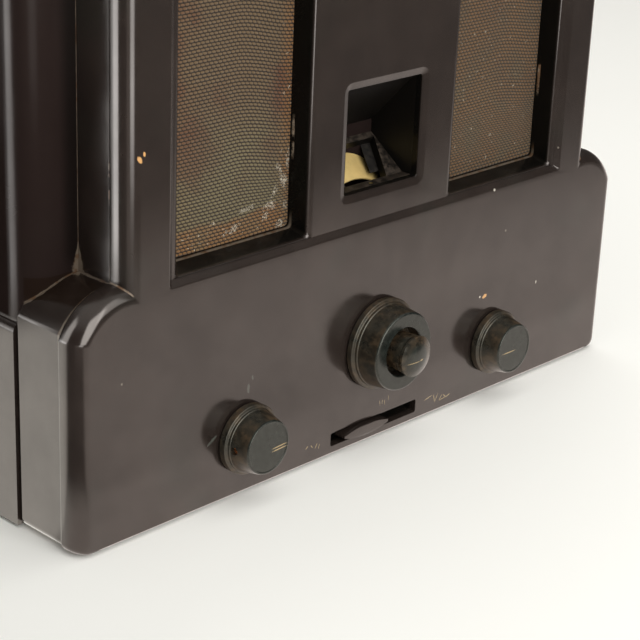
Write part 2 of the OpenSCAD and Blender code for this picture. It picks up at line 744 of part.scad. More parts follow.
module mains_transformer() {
  w = mains_w / 2;
  d = mains_d / 2;
  color([0.20, 0.20, 0.21]) place() translate([mains_at[0], mains_at[1], deck_z]) {
    box([-w - 2, -d - 6, 0], [w + 2, d + 6, 6]);
    box([-w, -d, 5], [w, d, mains_h]);
    box([-w + 12, -d - 10, 14], [w - 12, d + 10, mains_h - 10]);
    for (x = [2 - w, w - 2]) for (y = [2 - d, d - 2]) post(x, y, 0, mains_h + 4, 2);
  }
}
module smoothing_cans() {
  color([0.72, 0.73, 0.74]) place() for (p = can_at) {
    post(p[0], p[1], deck_z + 3, deck_z + can_h, 17);
    post(p[0], p[1], deck_z, deck_z + 3, 19);
  }
}
module coil_cans() {
  color([0.75, 0.75, 0.75]) place() for (p = coil_at) {
    post(p[0], p[1], deck_z, deck_z + coil_h, 15);
    translate([p[0], p[1], deck_z + coil_h]) cylinder(r1 = 15, r2 = 12, h = 2);
  }
}
module valve_holders() {
  color([0.16, 0.10, 0.07]) place() for (p = valve_at) difference() {
    union() {
      post(p[0], p[1], deck_z, deck_z + holder_h, valve_base_r + 1.5);
      post(p[0], p[1], deck_z - 5, deck_z + over, 11.6);
    }
    for (a = [0 : 90 : 270]) translate([p[0], p[1], deck_z - 6]) rotate([0, 0, a])
      translate([8, 0, 0]) cylinder(r = 1.7, h = 6 + holder_h + over);
  }
}
module valve_bases() {
  z0 = deck_z + holder_h;
  color([0.14, 0.10, 0.08]) place() for (p = valve_at) {
    post(p[0], p[1], z0, z0 + valve_base_h, valve_base_r);
    for (a = [0 : 90 : 270]) translate([p[0], p[1], z0 - holder_h - 3]) rotate([0, 0, a])
      translate([8, 0, 0]) cylinder(r = 1.6, h = holder_h + 4);
  }
}
module valve_bulbs() {
  z0 = deck_z + holder_h + valve_base_h;
  color([0.75, 0.80, 0.82, 0.4]) place() for (p = valve_at) {
    translate([p[0], p[1], z0]) cylinder(r1 = valve_base_r - 1, r2 = bulb_r, h = 8);
    post(p[0], p[1], z0 + 7.9, z0 + bulb_l, bulb_r);
    translate([p[0], p[1], z0 + bulb_l]) intersection() {
      sphere(r = bulb_r);
      translate([0, 0, -0.1]) cylinder(r = bulb_r + 1, h = bulb_r + 1);
    }
  }
}
module smoothing_choke() {
  w = choke_w / 2;
  d = choke_d / 2;
  z1 = deck_z - sheet;
  color([0.24, 0.23, 0.22]) place() translate([choke_at[0], choke_at[1], 0]) {
    box([-w, -d, flange_z + 6], [w, d, z1 - 2]);
    box([-w - 6, 6 - d, z1 - 2.2], [w + 6, d - 6, z1]);
  }
}
module socket_strip() {
  color([0.20, 0.13, 0.08]) place() difference() {
    union() {
      box([sockets[0] - 12, chassis_y1, socket_z - 10], [sockets[2] + 12, chassis_y1 + 3, socket_z + 10]);
      for (x = sockets) rod(x, socket_z, chassis_y1 - 2, chassis_y1 + 8, socket_r + 1.8);
    }
    for (x = sockets) rod(x, socket_z, chassis_y1 - 3, chassis_y1 + 9, socket_r);
  }
}
module mains_gland() {
  color([0.10, 0.10, 0.10]) place() difference() {
    union() {
      rod(cord_x, cord_z, chassis_y1 - sheet - 2, chassis_y1 - sheet, 10);
      rod(cord_x, cord_z, chassis_y1 - sheet - 1, chassis_y1 + 2, 7.8);
      rod(cord_x, cord_z, chassis_y1, chassis_y1 + 2, 10);
    }
    rod(cord_x, cord_z, chassis_y1 - 6, chassis_y1 + 6, 3.5);
  }
}

// ---- controls ----
module control_body(x, z, y0, r, l) {
  difference() {
    union() {
      rod(x, z, y0, y0 + l, r);
      rod(x, z, dash_y - 4, y0 + over, 5);
    }
    rod(x, z, dash_y - 5, y0 + l - 3, spindle_r + run_gap);
  }
}
module volume_control() {
  color([0.15, 0.15, 0.15]) place() control_body(-knob_x, knob_z, dash_y + sheet, 15, 14);
}
module tone_control() {
  color([0.15, 0.15, 0.15]) place() control_body(knob_x, knob_z, dash_y + sheet, 15, 14);
}
module control_nuts() {
  color([0.62, 0.55, 0.35]) place() {
    for (s = [-1, 1]) difference() {
      translate([s * knob_x, dash_y - 2.4, knob_z]) rotate([-90, 0, 0]) cylinder(r = 8, h = 2.4, $fn = 6);
      rod(s * knob_x, knob_z, dash_y - 4, dash_y + over, 5.1);
    }
    difference() {
      translate([0, dash_y + sheet, tune_z]) rotate([-90, 0, 0]) cylinder(r = 10, h = 2.4, $fn = 6);
      rod(0, tune_z, dash_y, dash_y + 6, tube_r + 1.6);
    }
  }
}
module volume_spindle() {
  color([0.60, 0.58, 0.52]) place() rod(-knob_x, knob_z, -small_reach + 5, dash_y + 11, spindle_r);
}
module tone_spindle() {
  color([0.60, 0.58, 0.52]) place() rod(knob_x, knob_z, -small_reach + 5, dash_y + 11, spindle_r);
}
module small_knob_shape(x) {
  f = small_flange_r;
  n = small_front_r;
  d = small_reach;
  g = knob_gap;
  translate([x, 0, knob_z]) difference() {
    rotate([90, 0, 0]) rotate_extrude() polygon([
      [0, g], [f, g], [f, g + 3.4], [f - 0.5, g + 3.9], [f - 1.5, g + 3.9], [f - 1.5, g + 4.9],
      [f - 1.9, g + 5.2], [n + 0.3, d - 0.9], [n, d], [n - 0.9, d], [n - 0.9, d - 0.3], [0, d - 0.3]]);
    difference() {
      rotate([90, 0, 0]) cylinder(r = n - 1.2, h = 9);
      rotate([90, 0, 0]) cylinder(r = spindle_r + 3.6, h = 10);
    }
    rotate([90, 0, 0]) cylinder(r = spindle_r, h = d - 5);
    translate([0, -8, 0]) rotate([0, -90, 0]) cylinder(r = grub_r + screw_gap, h = f);
  }
}
module volume_knob() {
  color([0.14, 0.10, 0.08]) place() small_knob_shape(-knob_x);
}
module tone_knob() {
  color([0.14, 0.10, 0.08]) place() translate([knob_x, 0, knob_z]) rotate([0, -90, 0])
    translate([0, 0, -knob_z]) small_knob_shape(0);
}
module grub(r_in, r_out) {
  difference() {
    rotate([0, -90, 0]) translate([0, 0, r_in]) cylinder(r = grub_r, h = r_out - r_in);
    translate([-r_out - over, -3, -0.3]) cube([1 + over, 6, 0.6]);
  }
}
module volume_knob_screw() {
  color([0.50, 0.28, 0.12]) place() translate([-knob_x, -8, knob_z]) grub(spindle_r, small_front_r);
}
module tone_knob_screw() {
  color([0.50, 0.28, 0.12]) place() translate([knob_x, -8, knob_z]) rotate([0, -90, 0])
    grub(spindle_r, small_front_r);
}
module tuning_knob() {
  f = big_flange_r;
  n = big_front_r;
  d = big_reach;
  g = knob_gap;
  color([0.14, 0.10, 0.08]) place() translate([0, 0, tune_z]) difference() {
    rotate([90, 0, 0]) rotate_extrude() polygon([
      [0, g], [f, g], [f, g + 2.9], [f - 0.5, g + 3.4], [f - 1.7, g + 3.4], [f - 1.7, g + 4.6],
      [f - 2.2, g + 5], [n + 0.4, d - 1], [n - 0.2, d], [well_r, d], [well_r, 10], [0, 10]]);
    difference() {
      rotate([90, 0, 0]) cylinder(r = n - 1.5, h = 7.5);
      rotate([90, 0, 0]) cylinder(r = tube_r + 4, h = 9);
    }
    rotate([90, 0, 0]) cylinder(r = tube_r, h = d);
    translate([0, -6.5, 0]) rotate([0, 180, 0]) rotate([0, -90, 0]) cylinder(r = grub_r + screw_gap, h = f);
  }
}
module tuning_knob_screw() {
  color([0.50, 0.28, 0.12]) place() translate([0, -6.5, tune_z]) rotate([0, 180, 0])
    grub(tube_r, big_front_r);
}
module tuning_spindle() {
  color([0.66, 0.62, 0.50]) place() difference() {
    union() {
      rod(0, tune_z, -9.5, scale_y0 - 3, tube_r);
      rod(0, tune_z, scale_y0 - 4, disc_y, neck_r);
      rod(0, tune_z, disc_y - 0.3, disc_y + disc_t + 0.3, roller_r);
      rod(0, tune_z, disc_y + disc_t + 0.15, disc_y + disc_t + 1.8, 8);
      rod(0, tune_z, disc_y + disc_t + 0.2, dash_y + 6, tube_r);
    }
    rod(0, tune_z, -11, dash_y + 8, inner_r + run_gap);
  }
}
module tuning_bush() {
  color([0.72, 0.60, 0.32]) place() difference() {
    union() {
      rod(0, tune_z, dash_y - 2, dash_y, 9);
      rod(0, tune_z, dash_y - 1, dash_y + 5, tube_r + 1.5);
    }
    rod(0, tune_z, dash_y - 5, dash_y + 6, tube_r + run_gap);
  }
}
module trimmer_spindle() {
  color([0.62, 0.60, 0.55]) place() rod(0, tune_z, -cap_reach + 4, dash_y + 18, inner_r);
}
module trimmer_knob() {
  r = cap_r;
  d = cap_reach;
  R = (r * r + dome_h * dome_h) / (2 * dome_h);
  color([0.14, 0.10, 0.08]) place() translate([0, 0, tune_z]) difference() {
    union() {
      rotate([90, 0, 0]) rotate_extrude() polygon([
        [0, 10.4], [r - 0.9, 10.4], [r - 0.4, d - 2], [r, d - 1.2], [r, d], [0, d]]);
      intersection() {
        translate([0, -d - dome_h + R, 0]) sphere(r = R);
        translate([0, -d + 0.1, 0]) rotate([90, 0, 0]) cylinder(r = r - 0.02, h = dome_h + 1);
      }
    }
    rotate([90, 0, 0]) cylinder(r = inner_r, h = d - 4);
    translate([0, -20, 0]) rotate([0, 180, 0]) rotate([0, -90, 0])
      cylinder(r = grub_r + screw_gap, h = r + 1);
  }
}
module trimmer_knob_screw() {
  color([0.50, 0.28, 0.12]) place() translate([0, -20, tune_z]) rotate([0, 180, 0])
    grub(inner_r, cap_r - 0.8);
}
module trimmer_condenser() {
  y0 = dash_y + 9;
  color([0.62, 0.62, 0.60]) place() difference() {
    union() {
      box([-13, y0, tune_z - 13], [13, y0 + 12, deck_z - sheet - 0.5]);
      box([-16, dash_y + sheet, 30], [-12, y0 + 3, 44]);
      box([12, dash_y + sheet, 30], [16, y0 + 3, 44]);
    }
    rod(0, tune_z, y0 - over, y0 + 10.5, inner_r + run_gap);
  }
}
module lever_knob() {
  sag = tongue_h / 2;
  point = tongue_l / 2 + 2;
  R = (point * point + sag * sag) / (2 * sag);
  color([0.13, 0.10, 0.09]) place() translate([-lever_rest, 0, slot_z]) {
    intersection() {
      rod(0, R - sag, -tongue_reach, front_wall + 2, R, $fn = lens_facets);
      rod(0, -R + sag, -tongue_reach, front_wall + 2, R, $fn = lens_facets);
      box([-tongue_l / 2, -tongue_reach - over, -sag], [tongue_l / 2, front_wall + 3, sag]);
    }
    box([-5, front_wall + over, -2], [5, front_wall + 4.5, 2]);
  }
}
module wave_slide() {
  y0 = front_wall + 4.5;
  color([0.55, 0.53, 0.48]) place() translate([-lever_rest, 0, 0])
    box([16 - switch_half, y0, slot_z - 5.5], [switch_half - 16, y0 + 1.2, slot_z + 10]);
}
module wave_switch() {
  w = switch_half;
  y0 = front_wall + 4.5;
  z0 = slot_z - 5.5;
  z1 = slot_z + 10;
  color([0.22, 0.15, 0.09]) place() {
    difference() {
      box([-w, y0 - 2.5, z0 - 1.7], [w, y0 + 10, z1 + 1.7]);
      box([-w - over, y0 - 0.3, z0 - 0.2], [w + over, y0 + 1.5, z1 + 0.2]);
      box([-w - over, y0 - 3, z0 + 1], [w + over, y0, z1 - 1]);
    }
    pair() box([w - 14, y0 + 9, flange_z + 1], [w - 4, dash_y, z1 + 1.7]);
  }
}

// ---- loudspeaker ----
module speaker_frame() {
  y0 = baffle_y1;
  color([0.28, 0.28, 0.29]) place() translate([0, 0, speaker_z]) difference() {
    rotate([-90, 0, 0]) rotate_extrude() polygon([
      [speaker_r - 17, y0 + cone_t], [rim_r, y0 + cone_t], [rim_r, y0], [speaker_r, y0],
      [speaker_r, y0 + flange_t], [speaker_r - 14, y0 + flange_t],
      [pot_r + 4, basket_y1], [pot_r + 2, basket_y1 + 1.4], [15, basket_y1 + 1.4], [15, basket_y1],
      [pot_r + 1, basket_y1], [speaker_r - 17, y0 + flange_t]]);
    for (a = [0 : 60 : 300]) rotate([0, a, 0])
      box([-12, basket_y + 8, 30], [12, basket_y1 - 6, speaker_r]);
    for (a = [45 : 90 : 315])
      rod(speaker_bolt_r * cos(a), speaker_bolt_r * sin(a), y0 - over, y0 + 3, 2.1);
  }
}
module speaker_cone() {
  y0 = baffle_y1;
  a = speaker_r - 19;
  color([0.32, 0.27, 0.20]) place() turned_back(0, speaker_z, [
    [rim_r, y0], [rim_r, y0 + cone_t], [a, y0 + cone_t], [a - 8, y0 + 2.6],
    [13.6, basket_y1 - 6], [13.6, basket_y1 + 6], [13, basket_y1 + 6], [13, basket_y1 - 7],
    [a - 9, y0 + 1.7], [a, y0]]);
}
module speaker_magnet() {
  y0 = basket_y1 + 1.4;
  color([0.20, 0.20, 0.20]) place() translate([0, 0, speaker_z]) rotate([-90, 0, 0]) difference() {
    union() {
      rotate_extrude() polygon([
        [14.4, y0], [pot_r, y0], [pot_r, y0 + pot_l], [0, y0 + pot_l], [0, y0 - 2],
        [12.2, y0 - 2], [12.2, y0 + pot_l - 8], [14.4, y0 + pot_l - 8]]);
    }
    translate([0, 0, y0 + pot_l - 3]) cylinder(r = 4, h = 5);
  }
}
module speaker_bolts() {
  y0 = cloth_y + cloth_t;
  color([0.50, 0.47, 0.40]) place() for (a = [45 : 90 : 315]) {
    x = speaker_bolt_r * cos(a);
    z = speaker_z + speaker_bolt_r * sin(a);
    rod(x, z, y0, y0 + 1.6, 4.2);
    rod(x, z, y0 + 1.5, baffle_y1 + 7, 1.9);
    difference() {
      translate([x, baffle_y1 + flange_t, z]) rotate([-90, 0, 0]) cylinder(r = 4.4, h = 3, $fn = 6);
      rod(x, z, baffle_y1, baffle_y1 + 8, 2);
    }
  }
}
module output_transformer() {
  w = output_w / 2;
  h = output_h / 2;
  d = output_d;
  color([0.22, 0.21, 0.20]) place() translate([output_at[0], baffle_y1, output_at[1]]) {
    box([-w - 4, 0, -h - 6], [w + 4, 2, h + 6]);
    box([-w, 1, -h], [w, d, h]);
    box([-w + 7, 8, -h - 5], [w - 7, d - 6, h + 5]);
  }
}

cabinet();
back_cover();
back_screws();
base_cover();
rubber_feet();
chassis_bolts();
baffle_board();
baffle_screws();
speaker_cloth();
dial_escutcheon();
escutcheon_screws();
dial_mask();
tuning_scale();
drive_disc();
dial_lamp();
lamp_holder();
chassis();
gang_frame();
gang_stators();
stator_bars();
gang_rotor();
mains_transformer();
smoothing_cans();
coil_cans();
valve_holders();
valve_bases();
valve_bulbs();
smoothing_choke();
socket_strip();
mains_gland();
volume_control();
tone_control();
control_nuts();
volume_spindle();
tone_spindle();
volume_knob();
tone_knob();
volume_knob_screw();
tone_knob_screw();
tuning_knob();
tuning_knob_screw();
tuning_spindle();
tuning_bush();
trimmer_spindle();
trimmer_knob();
trimmer_knob_screw();
trimmer_condenser();
lever_knob();
wave_slide();
wave_switch();
speaker_frame();
speaker_cone();
speaker_magnet();
speaker_bolts();
output_transformer();
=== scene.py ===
import json
import math

import bmesh
import bpy
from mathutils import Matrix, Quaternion, Vector
from mathutils.geometry import tessellate_polygon


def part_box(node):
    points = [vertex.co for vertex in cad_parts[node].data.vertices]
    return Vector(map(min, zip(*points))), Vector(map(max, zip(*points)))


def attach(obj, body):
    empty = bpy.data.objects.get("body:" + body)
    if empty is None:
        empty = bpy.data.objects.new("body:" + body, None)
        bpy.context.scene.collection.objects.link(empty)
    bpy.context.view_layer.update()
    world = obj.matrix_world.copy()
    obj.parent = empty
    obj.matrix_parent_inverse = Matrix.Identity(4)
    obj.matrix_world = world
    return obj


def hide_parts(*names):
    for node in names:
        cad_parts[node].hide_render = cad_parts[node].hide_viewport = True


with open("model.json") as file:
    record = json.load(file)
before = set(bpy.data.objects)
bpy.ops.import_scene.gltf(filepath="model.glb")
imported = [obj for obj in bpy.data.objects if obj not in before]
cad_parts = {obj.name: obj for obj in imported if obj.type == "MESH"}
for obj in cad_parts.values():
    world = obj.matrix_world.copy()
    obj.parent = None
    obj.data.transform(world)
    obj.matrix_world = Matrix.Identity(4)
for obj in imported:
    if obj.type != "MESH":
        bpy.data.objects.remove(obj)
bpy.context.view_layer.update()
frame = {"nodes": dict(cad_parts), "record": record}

# Lengths below are in millimetres, measured from the middle of the case's front face at its rim:
# x to the right, y back into the set, z up. at() turns them into the frame's metres.
MM = 0.001
# edges that turn by more than this many degrees are drawn sharp
SHARP = 32.0
case_low, case_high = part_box("cabinet")
FACE_Y = case_low.y
RIM_Z = case_low.z

# case
PLINTH_W = 369.0
BLOCK_W = 314.0
BLOCK_H = 446.0
CASE_D = (case_high.y - case_low.y) / MM
BODY_W = 362.0
BODY_H = 432.0
BODY_BACK = 34.0
CORNER_R = 14.0
TOP_R = 31.0
REAR_W = 368.0
LEDGE_Z = 95.0
LEDGE_R = 4.0
BEAD_T = 12.5
BEAD_R, BEAD_DEPTH = 7.0, 9.3
SET_IN = 1.5
SHOULDER_R = 31.0
SHOULDER_Z = 85.0
SHOULDER_X = BLOCK_W / 2 - 1
WALL = 4.5
FRONT_WALL = 7.0
RIM_BEVEL = 1.2
PLINTH_BACK = BODY_BACK + 7
REAR_FRONT = BODY_BACK + 8.5
BLOCK_SIDE = BLOCK_W / 2 - SET_IN
RIM_TOP = 20.0
# the round top of the plinth behind the bead
CROWN_X = SHOULDER_X - 1
CROWN_R = SHOULDER_R + 2
CROWN_Z = SHOULDER_Z + SHOULDER_R - SET_IN - CROWN_R

# front panel
RECESS_W = 268.0
RECESS_Z0, RECESS_Z1 = 111.0, 397.0
RECESS_DEPTH = 2.3
RECESS_BEVEL = 3.0
OPENINGS_W = 259.0
PILLAR_W = 92.6
CLOTH_Y = 15.0
SPLAY = 3.7
SILL_RISE = 3.0
# the openings' rounded lips: how far they reach in, start outside the openings, drop and climb per mm
LIP_IN, LIP_OUT, LIP_DROP, LIP_CLIMB = 3.2, 1.2, 0.7, 0.22
WINDOW_W = 50.0
WINDOW_Z0, WINDOW_Z1 = 128.3, 178.0
WINDOW_BEVEL = 3.5
WINDOW_BEVEL_DEPTH = 1.2
KNOB_X, KNOB_Z = 87.8, 27.9
TUNE_Z = 50.8
SLOT_Z, SLOT_L, SLOT_H, SLOT_R = 8.0, 61.0, 6.6, 1.0
LEVER_X, TONGUE_L, TONGUE_H, TONGUE_OUT = -8.1, 31.0, 6.0, 2.8
SOFT_EDGE = 0.7
FOOT_R = 4.0
SPINDLE_HOLE_R, TUNING_HOLE_R = 5.1, 7.0

# knobs
KNOB_FACE, TUNING_FACE, TRIMMER_EDGE, TRIMMER_DOME = -15.5, -16.8, -24.2, 2.3
GRUB_HOLE_R = 1.8

# speaker cloth
CLOTH_X, CLOTH_Z0, CLOTH_Z1 = 134.5, 109.0, 399.0
CUT_X, CUT_Z = 43.0, 186.0
ROW_PITCH, GRAIN_PITCH = 1.6, 2.5
CLOTH_T, CLOTH_OFF, SLACK = 0.3, 0.12, 0.14

# finishes
CASE_IOR = 1.6
CASE_TINT = (1.0, 0.93, 0.88)
CASE_DARK, CASE_LIGHT = (0.014, 0.010, 0.0085), (0.025, 0.018, 0.015)
CASE_GREEN, CASE_BODY = (0.018, 0.018, 0.0145), (0.017, 0.011, 0.010)
# painted shade: the first colour darkens the crown beside the block, the second the nook and the openings'
# walls
CROWN_SHADE, SHADE_BLACK = (0.011, 0.006, 0.0035), (0.003, 0.003, 0.0025)
DUST, SOIL, RUST = (0.085, 0.068, 0.055), (0.30, 0.24, 0.18), (0.20, 0.10, 0.045)
SPECK, GILT, PALE = (0.30, 0.27, 0.22), (0.42, 0.32, 0.16), (0.62, 0.58, 0.50)
FAINT, ORANGE = (0.40, 0.46, 0.40), (0.62, 0.34, 0.13)
CASE_ROUGH = (0.11, 0.20)
KNOB_BROWN, KNOB_WORN = (0.018, 0.012, 0.007), (0.058, 0.037, 0.020)
KNOB_BLACK, KNOB_GREEN, KNOB_GILT = (0.008, 0.010, 0.009), (0.017, 0.020, 0.0175), (0.40, 0.29, 0.15)
CLOTH_OLIVE, CLOTH_RED = (0.145, 0.118, 0.064), (0.105, 0.044, 0.022)
CLOTH_STAIN, CLOTH_GAP = (0.21, 0.098, 0.032), (0.014, 0.008, 0.004)
CLOTH_FLUFF, CLOTH_SHADE = (0.56, 0.50, 0.39), (0.022, 0.021, 0.013)

# Light. Lengths in this block are in metres, and bearings are in degrees to the left of straight ahead.
FLOOR_R, FLOOR_SIDES, DOME_RINGS = 6.0, 64, 13
FLOOR_GREY, FLOOR_PALE = (0.865, 0.87, 0.835), (0.885, 0.89, 0.86)
BACKDROP, BACKDROP_GLOW = (1.0, 1.0, 0.94), 0.96
CARD_HALF, CARD_HEIGHT = 3.0, 0.0004
CARD_X, CARD_Y = -0.157, 0.009
CARD_FRONT, CARD_REAR = (1.0, 0.90, 0.84), (1.0, 0.96, 0.88)
# how the card fades towards the front and away from the set: from where, to where, strengths there
FRONT_FADE = (-0.40, -0.16, 0.24, 1.25)
NEAR_FADE = (0.035, 0.085, 1.4, 0.08)
# each pool of light on the card: bearings where it starts, bearings where it drops and what is left,
# reach where its strength changes and the strengths on both sides
CARD_POOLS = {
    "rear": ((102.0, 122.0), [], (0.26, 0.32, 2.2, 0.12)),
    "wide": ((18.0, 30.0), [(66.0, 76.0, 0.0)], (0.20, 0.34, 0.0, 0.7)),
    "strip": ((109.0, 116.0), [(134.0, 138.0, 0.5), (140.5, 143.0, 0.0)], (0.28, 0.36, 0.0, 6.5)),
    "lamp": ((16.0, 32.0), [(44.0, 56.0, 0.0)], (0.36, 0.68, 0.0, 5.5)),
}
WORLD_BASE, WORLD_COLOUR = 0.06, (1.0, 0.99, 0.97)
# soft boxes: bearings and their edge, heights and their edge, strength
SOFT_BOXES = [
    (-2.0, 36.0, 8.0, 0.06, 0.70, 0.10, 5.5),
    (-36.0, -2.0, 6.0, 0.36, 0.80, 0.10, 2.4),
    (115.0, 134.0, 9.0, -0.5, 0.66, 0.10, 3.8),
    (-400.0, 400.0, 1.0, 0.85, 1.1, 0.35, 0.55),
]
# area lights: place, target, size and power
LIGHT_COLOUR = (1.0, 0.985, 0.96)
LIGHTS = {
    "overhead": ((0.25, -0.35, 1.9), (0.0, -0.05, 0.0), (2.6, 2.6), 38.0),
    "rear": ((1.7, 1.6, 2.4), (1.7, 1.6, 0.0), (3.0, 3.0), 26.0),
    "front_fill": ((-0.5, -1.6, 0.95), (0.0, 0.0, 0.10), (2.0, 1.0), 32.0),
}


def at(x, y, z):
    """A point of the case, in the frame's metres."""
    return Vector((x * MM, FACE_Y + y * MM, RIM_Z + z * MM))


def placed(name, data, place=(0, 0, 0)):
    """A new object in the scene."""
    made = bpy.data.objects.new(name, data)
    made.location = place
    bpy.context.scene.collection.objects.link(made)
    return made


# ---- camera
CAMERA_AT = (-620.0, -544.8, 391.1)
CAMERA_YAW, CAMERA_DROP, CAMERA_ROLL, LENS = 46.72, 21.826, 2.367, 104.41


def make_camera():
    yaw, drop = math.radians(CAMERA_YAW), math.radians(CAMERA_DROP)
    ahead = Vector((math.sin(yaw) * math.cos(drop), math.cos(yaw) * math.cos(drop), -math.sin(drop)))
    camera = placed("camera", bpy.data.cameras.new("camera"), at(*CAMERA_AT))
    camera.data.lens = LENS
    camera.data.sensor_width = 36.0
    camera.data.clip_start = 0.05
    camera.data.clip_end = 60.0
    camera.rotation_mode = "QUATERNION"
    roll = Quaternion((0, 0, 1), math.radians(CAMERA_ROLL))
    camera.rotation_quaternion = ahead.to_track_quat("-Z", "Y") @ roll
    bpy.context.scene.camera = camera


# ---- mesh building
class Shell:
    """Vertices and faces of one mesh, built ring by ring."""

    def __init__(self):
        self.points = []
        self.faces = []

    def ring(self, points):
        first = len(self.points)
        self.points += [Vector(p) for p in points]
        return list(range(first, len(self.points)))

    def face(self, corners):
        self.faces.append(list(corners))

    def bridge(self, a, b, closed=True):
        """Quads between two rings with as many points."""
        n = len(a)
        for i in range(n if closed else n - 1):
            j = (i + 1) % n
            self.face((a[i], a[j], b[j], b[i]))

    def loft(self, rings, closed=True):
        made = [self.ring(r) for r in rings]
        for a, b in zip(made, made[1:]):
            self.bridge(a, b, closed)
        return made

    def solid(self, rings):
        """A loft with both of its ends filled."""
        made = self.loft(rings)
        self.fill(made[0])
        self.fill(made[-1])

    def fill(self, *loops):
        """A flat face with holes, between rings that are already there."""
        order = [i for loop in loops for i in loop]
        for tri in tessellate_polygon([[self.points[i] for i in loop] for loop in loops]):
            self.face([order[i] for i in tri])

    def fan(self, ring, centre):
        hub = self.ring([centre])[0]
        for i, j in zip(ring, ring[1:] + ring[:1]):
            self.face((i, j, hub))

    def mesh(self, name, origin=Vector(), outward=True):
        mesh = bpy.data.meshes.new(name)
        mesh.from_pydata([p - origin for p in self.points], [], self.faces)
        bm = bmesh.new()
        bm.from_mesh(mesh)
        bmesh.ops.remove_doubles(bm, verts=bm.verts, dist=1e-7)
        if outward:
            bmesh.ops.recalc_face_normals(bm, faces=bm.faces)
        bm.to_mesh(mesh)
        bm.free()
        return mesh

    def build(self, name, material, body, origin, angle=SHARP, outward=True):
        mesh = self.mesh(name, origin, outward)
        for polygon in mesh.polygons:
            polygon.use_smooth = True
        mesh.materials.append(material)
        mesh.set_sharp_from_angle(angle=math.radians(angle))
        made = placed(name, mesh, origin)
        weighted = made.modifiers.new("even_normals", "WEIGHTED_NORMAL")
        weighted.keep_sharp = True
        weighted.weight = 80
        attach(made, body)
        return made


def arc(cx, cz, r, a0, a1, n):
    """n + 1 points on an arc, angles in degrees."""
    turns = [math.radians(a0 + (a1 - a0) * i / n) for i in range(n + 1)]
    return [(cx + r * math.cos(t), cz + r * math.sin(t)) for t in turns]


def circle(n):
    """n points round a circle of radius 1."""
    turns = [2 * math.pi * i / n for i in range(n)]
    return [(math.cos(t), math.sin(t)) for t in turns]


def angle_at(x, cx, r):
    """The angle at which an arc's circle passes x, in degrees."""
    return math.degrees(math.acos((x - cx) / r))


def both_sides(right_half):
    """A closed outline from its right half, listed from the bottom to the top."""
    return right_half + [(-x, z) for x, z in reversed(right_half)]


def rounding(r, n, deep=0.0):
    """Steps round an edge from its front to its side: (how far in from the side, how far back)."""
    turns = [math.pi / 2 * i / n for i in range(n + 1)]
    return [(r * (1 - math.sin(t)), (deep or r) * (1 - math.cos(t))) for t in turns]


def bead_outline(inset, foot=0.0):
    """The front slab seen from the front: plinth, shoulders and block in one outline."""
    side = PLINTH_W / 2 - inset
    r = SHOULDER_R - inset
    block = BLOCK_W / 2 - inset
    half = arc(side - FOOT_R, foot + FOOT_R, FOOT_R, -90, 0, 6)
    half += arc(SHOULDER_X, SHOULDER_Z, r, angle_at(side, SHOULDER_X, r), angle_at(block, SHOULDER_X, r), 20)
    half += arc(BLOCK_W / 2 - TOP_R, BLOCK_H - TOP_R, TOP_R - inset, 0, 90, 20)
    return both_sides(half)


def plinth_outline(inset):
    """The plinth behind the bead, with its shoulders running in under the block."""
    side = PLINTH_W / 2 - SET_IN - inset
    r = CROWN_R - inset
    foot = arc(side - FOOT_R, FOOT_R, FOOT_R, -90, 0, 6)
    return both_sides(foot + arc(CROWN_X, CROWN_Z, r, angle_at(side, CROWN_X, r), 90, 20))


def block_outline(inset):
    cx = BLOCK_W / 2 - TOP_R
    top = arc(cx, BLOCK_H - TOP_R, TOP_R - SET_IN - inset, 0, 90, 20)
    return both_sides([(BLOCK_SIDE - inset, 0)] + top)


def body_outline(inset, drop=0.0):
    """The body seen from the front: inset moves its sides in, drop its sides, corners and top."""
    side = BODY_W / 2 - inset - drop
    cx = BODY_W / 2 - TOP_R
    r = TOP_R + 0.6 - drop
    return both_sides([(side, 0)] + arc(cx, BODY_H - TOP_R - 0.6, r, angle_at(side, cx, r), 90, 20))


def rectangle(x0, x1, z0, z1, corner, n=4):
    """A rectangle with round corners, counter-clockwise seen from the front."""
    out = []
    for cx, cz, a in (
        (x1 - corner, z0 + corner, -90),
        (x1 - corner, z1 - corner, 0),
        (x0 + corner, z1 - corner, 90),
        (x0 + corner, z0 + corner, 180),
    ):
        out += arc(cx, cz, corner, a, a + 90, n)
    return out


def facing(outline, y):
    """An outline of (x, z), set at depth y."""
    return [at(x, y, z) for x, z in outline]


def bead_and_rim(shell):
    """The front slab's rounded bead and the bevel under it; returns the loop round the flat face."""
    steps = [(BEAD_R + 0.5, 0.0)] + rounding(BEAD_R, 16, BEAD_DEPTH)
    steps += [(0.0, BEAD_T - 1.3), (0.12, BEAD_T - 0.75), (0.45, BEAD_T - 0.3), (0.95, BEAD_T - 0.06)]
    steps += [(SET_IN, BEAD_T), (4.0, BEAD_T)]
    rings = [facing(bead_outline(inset, max(0.0, RIM_BEVEL - y)), y) for inset, y in steps]
    face_loop = shell.loft(rings, closed=False)[0]
    low = [i for i in face_loop if abs(shell.points[i].z - RIM_Z - RIM_BEVEL * MM) < 1e-6]
    foot = shell.ring([shell.points[i] + Vector((0, RIM_BEVEL * MM, -RIM_BEVEL * MM)) for i in low])
    shell.bridge(low, foot, closed=False)
    return face_loop


def straight_walls(shell, half, z0, z1, corner, profile, start=0.0, n=4):
    """Walls of a rectangular opening; profile says how far out and how far back from the front."""
    rings = []
    for o, y in profile:
        outline = rectangle(-half - o, half + o, z0 - o, z1 + o, max(corner + o, 0.2), n)
        rings.append(facing(outline, start + y))
    return shell.loft(rings)


def recess_walls(shell):
    e, b, d = SOFT_EDGE, RECESS_BEVEL, RECESS_DEPTH
    profile = [(e, 0.0), (0.25 * e, 0.12 * e), (-0.4 * e, 0.4 * e), (-b + 0.9, d - 0.35), (-b + 0.3, d)]
    return straight_walls(shell, RECESS_W / 2, RECESS_Z0, RECESS_Z1, 1.4, profile)


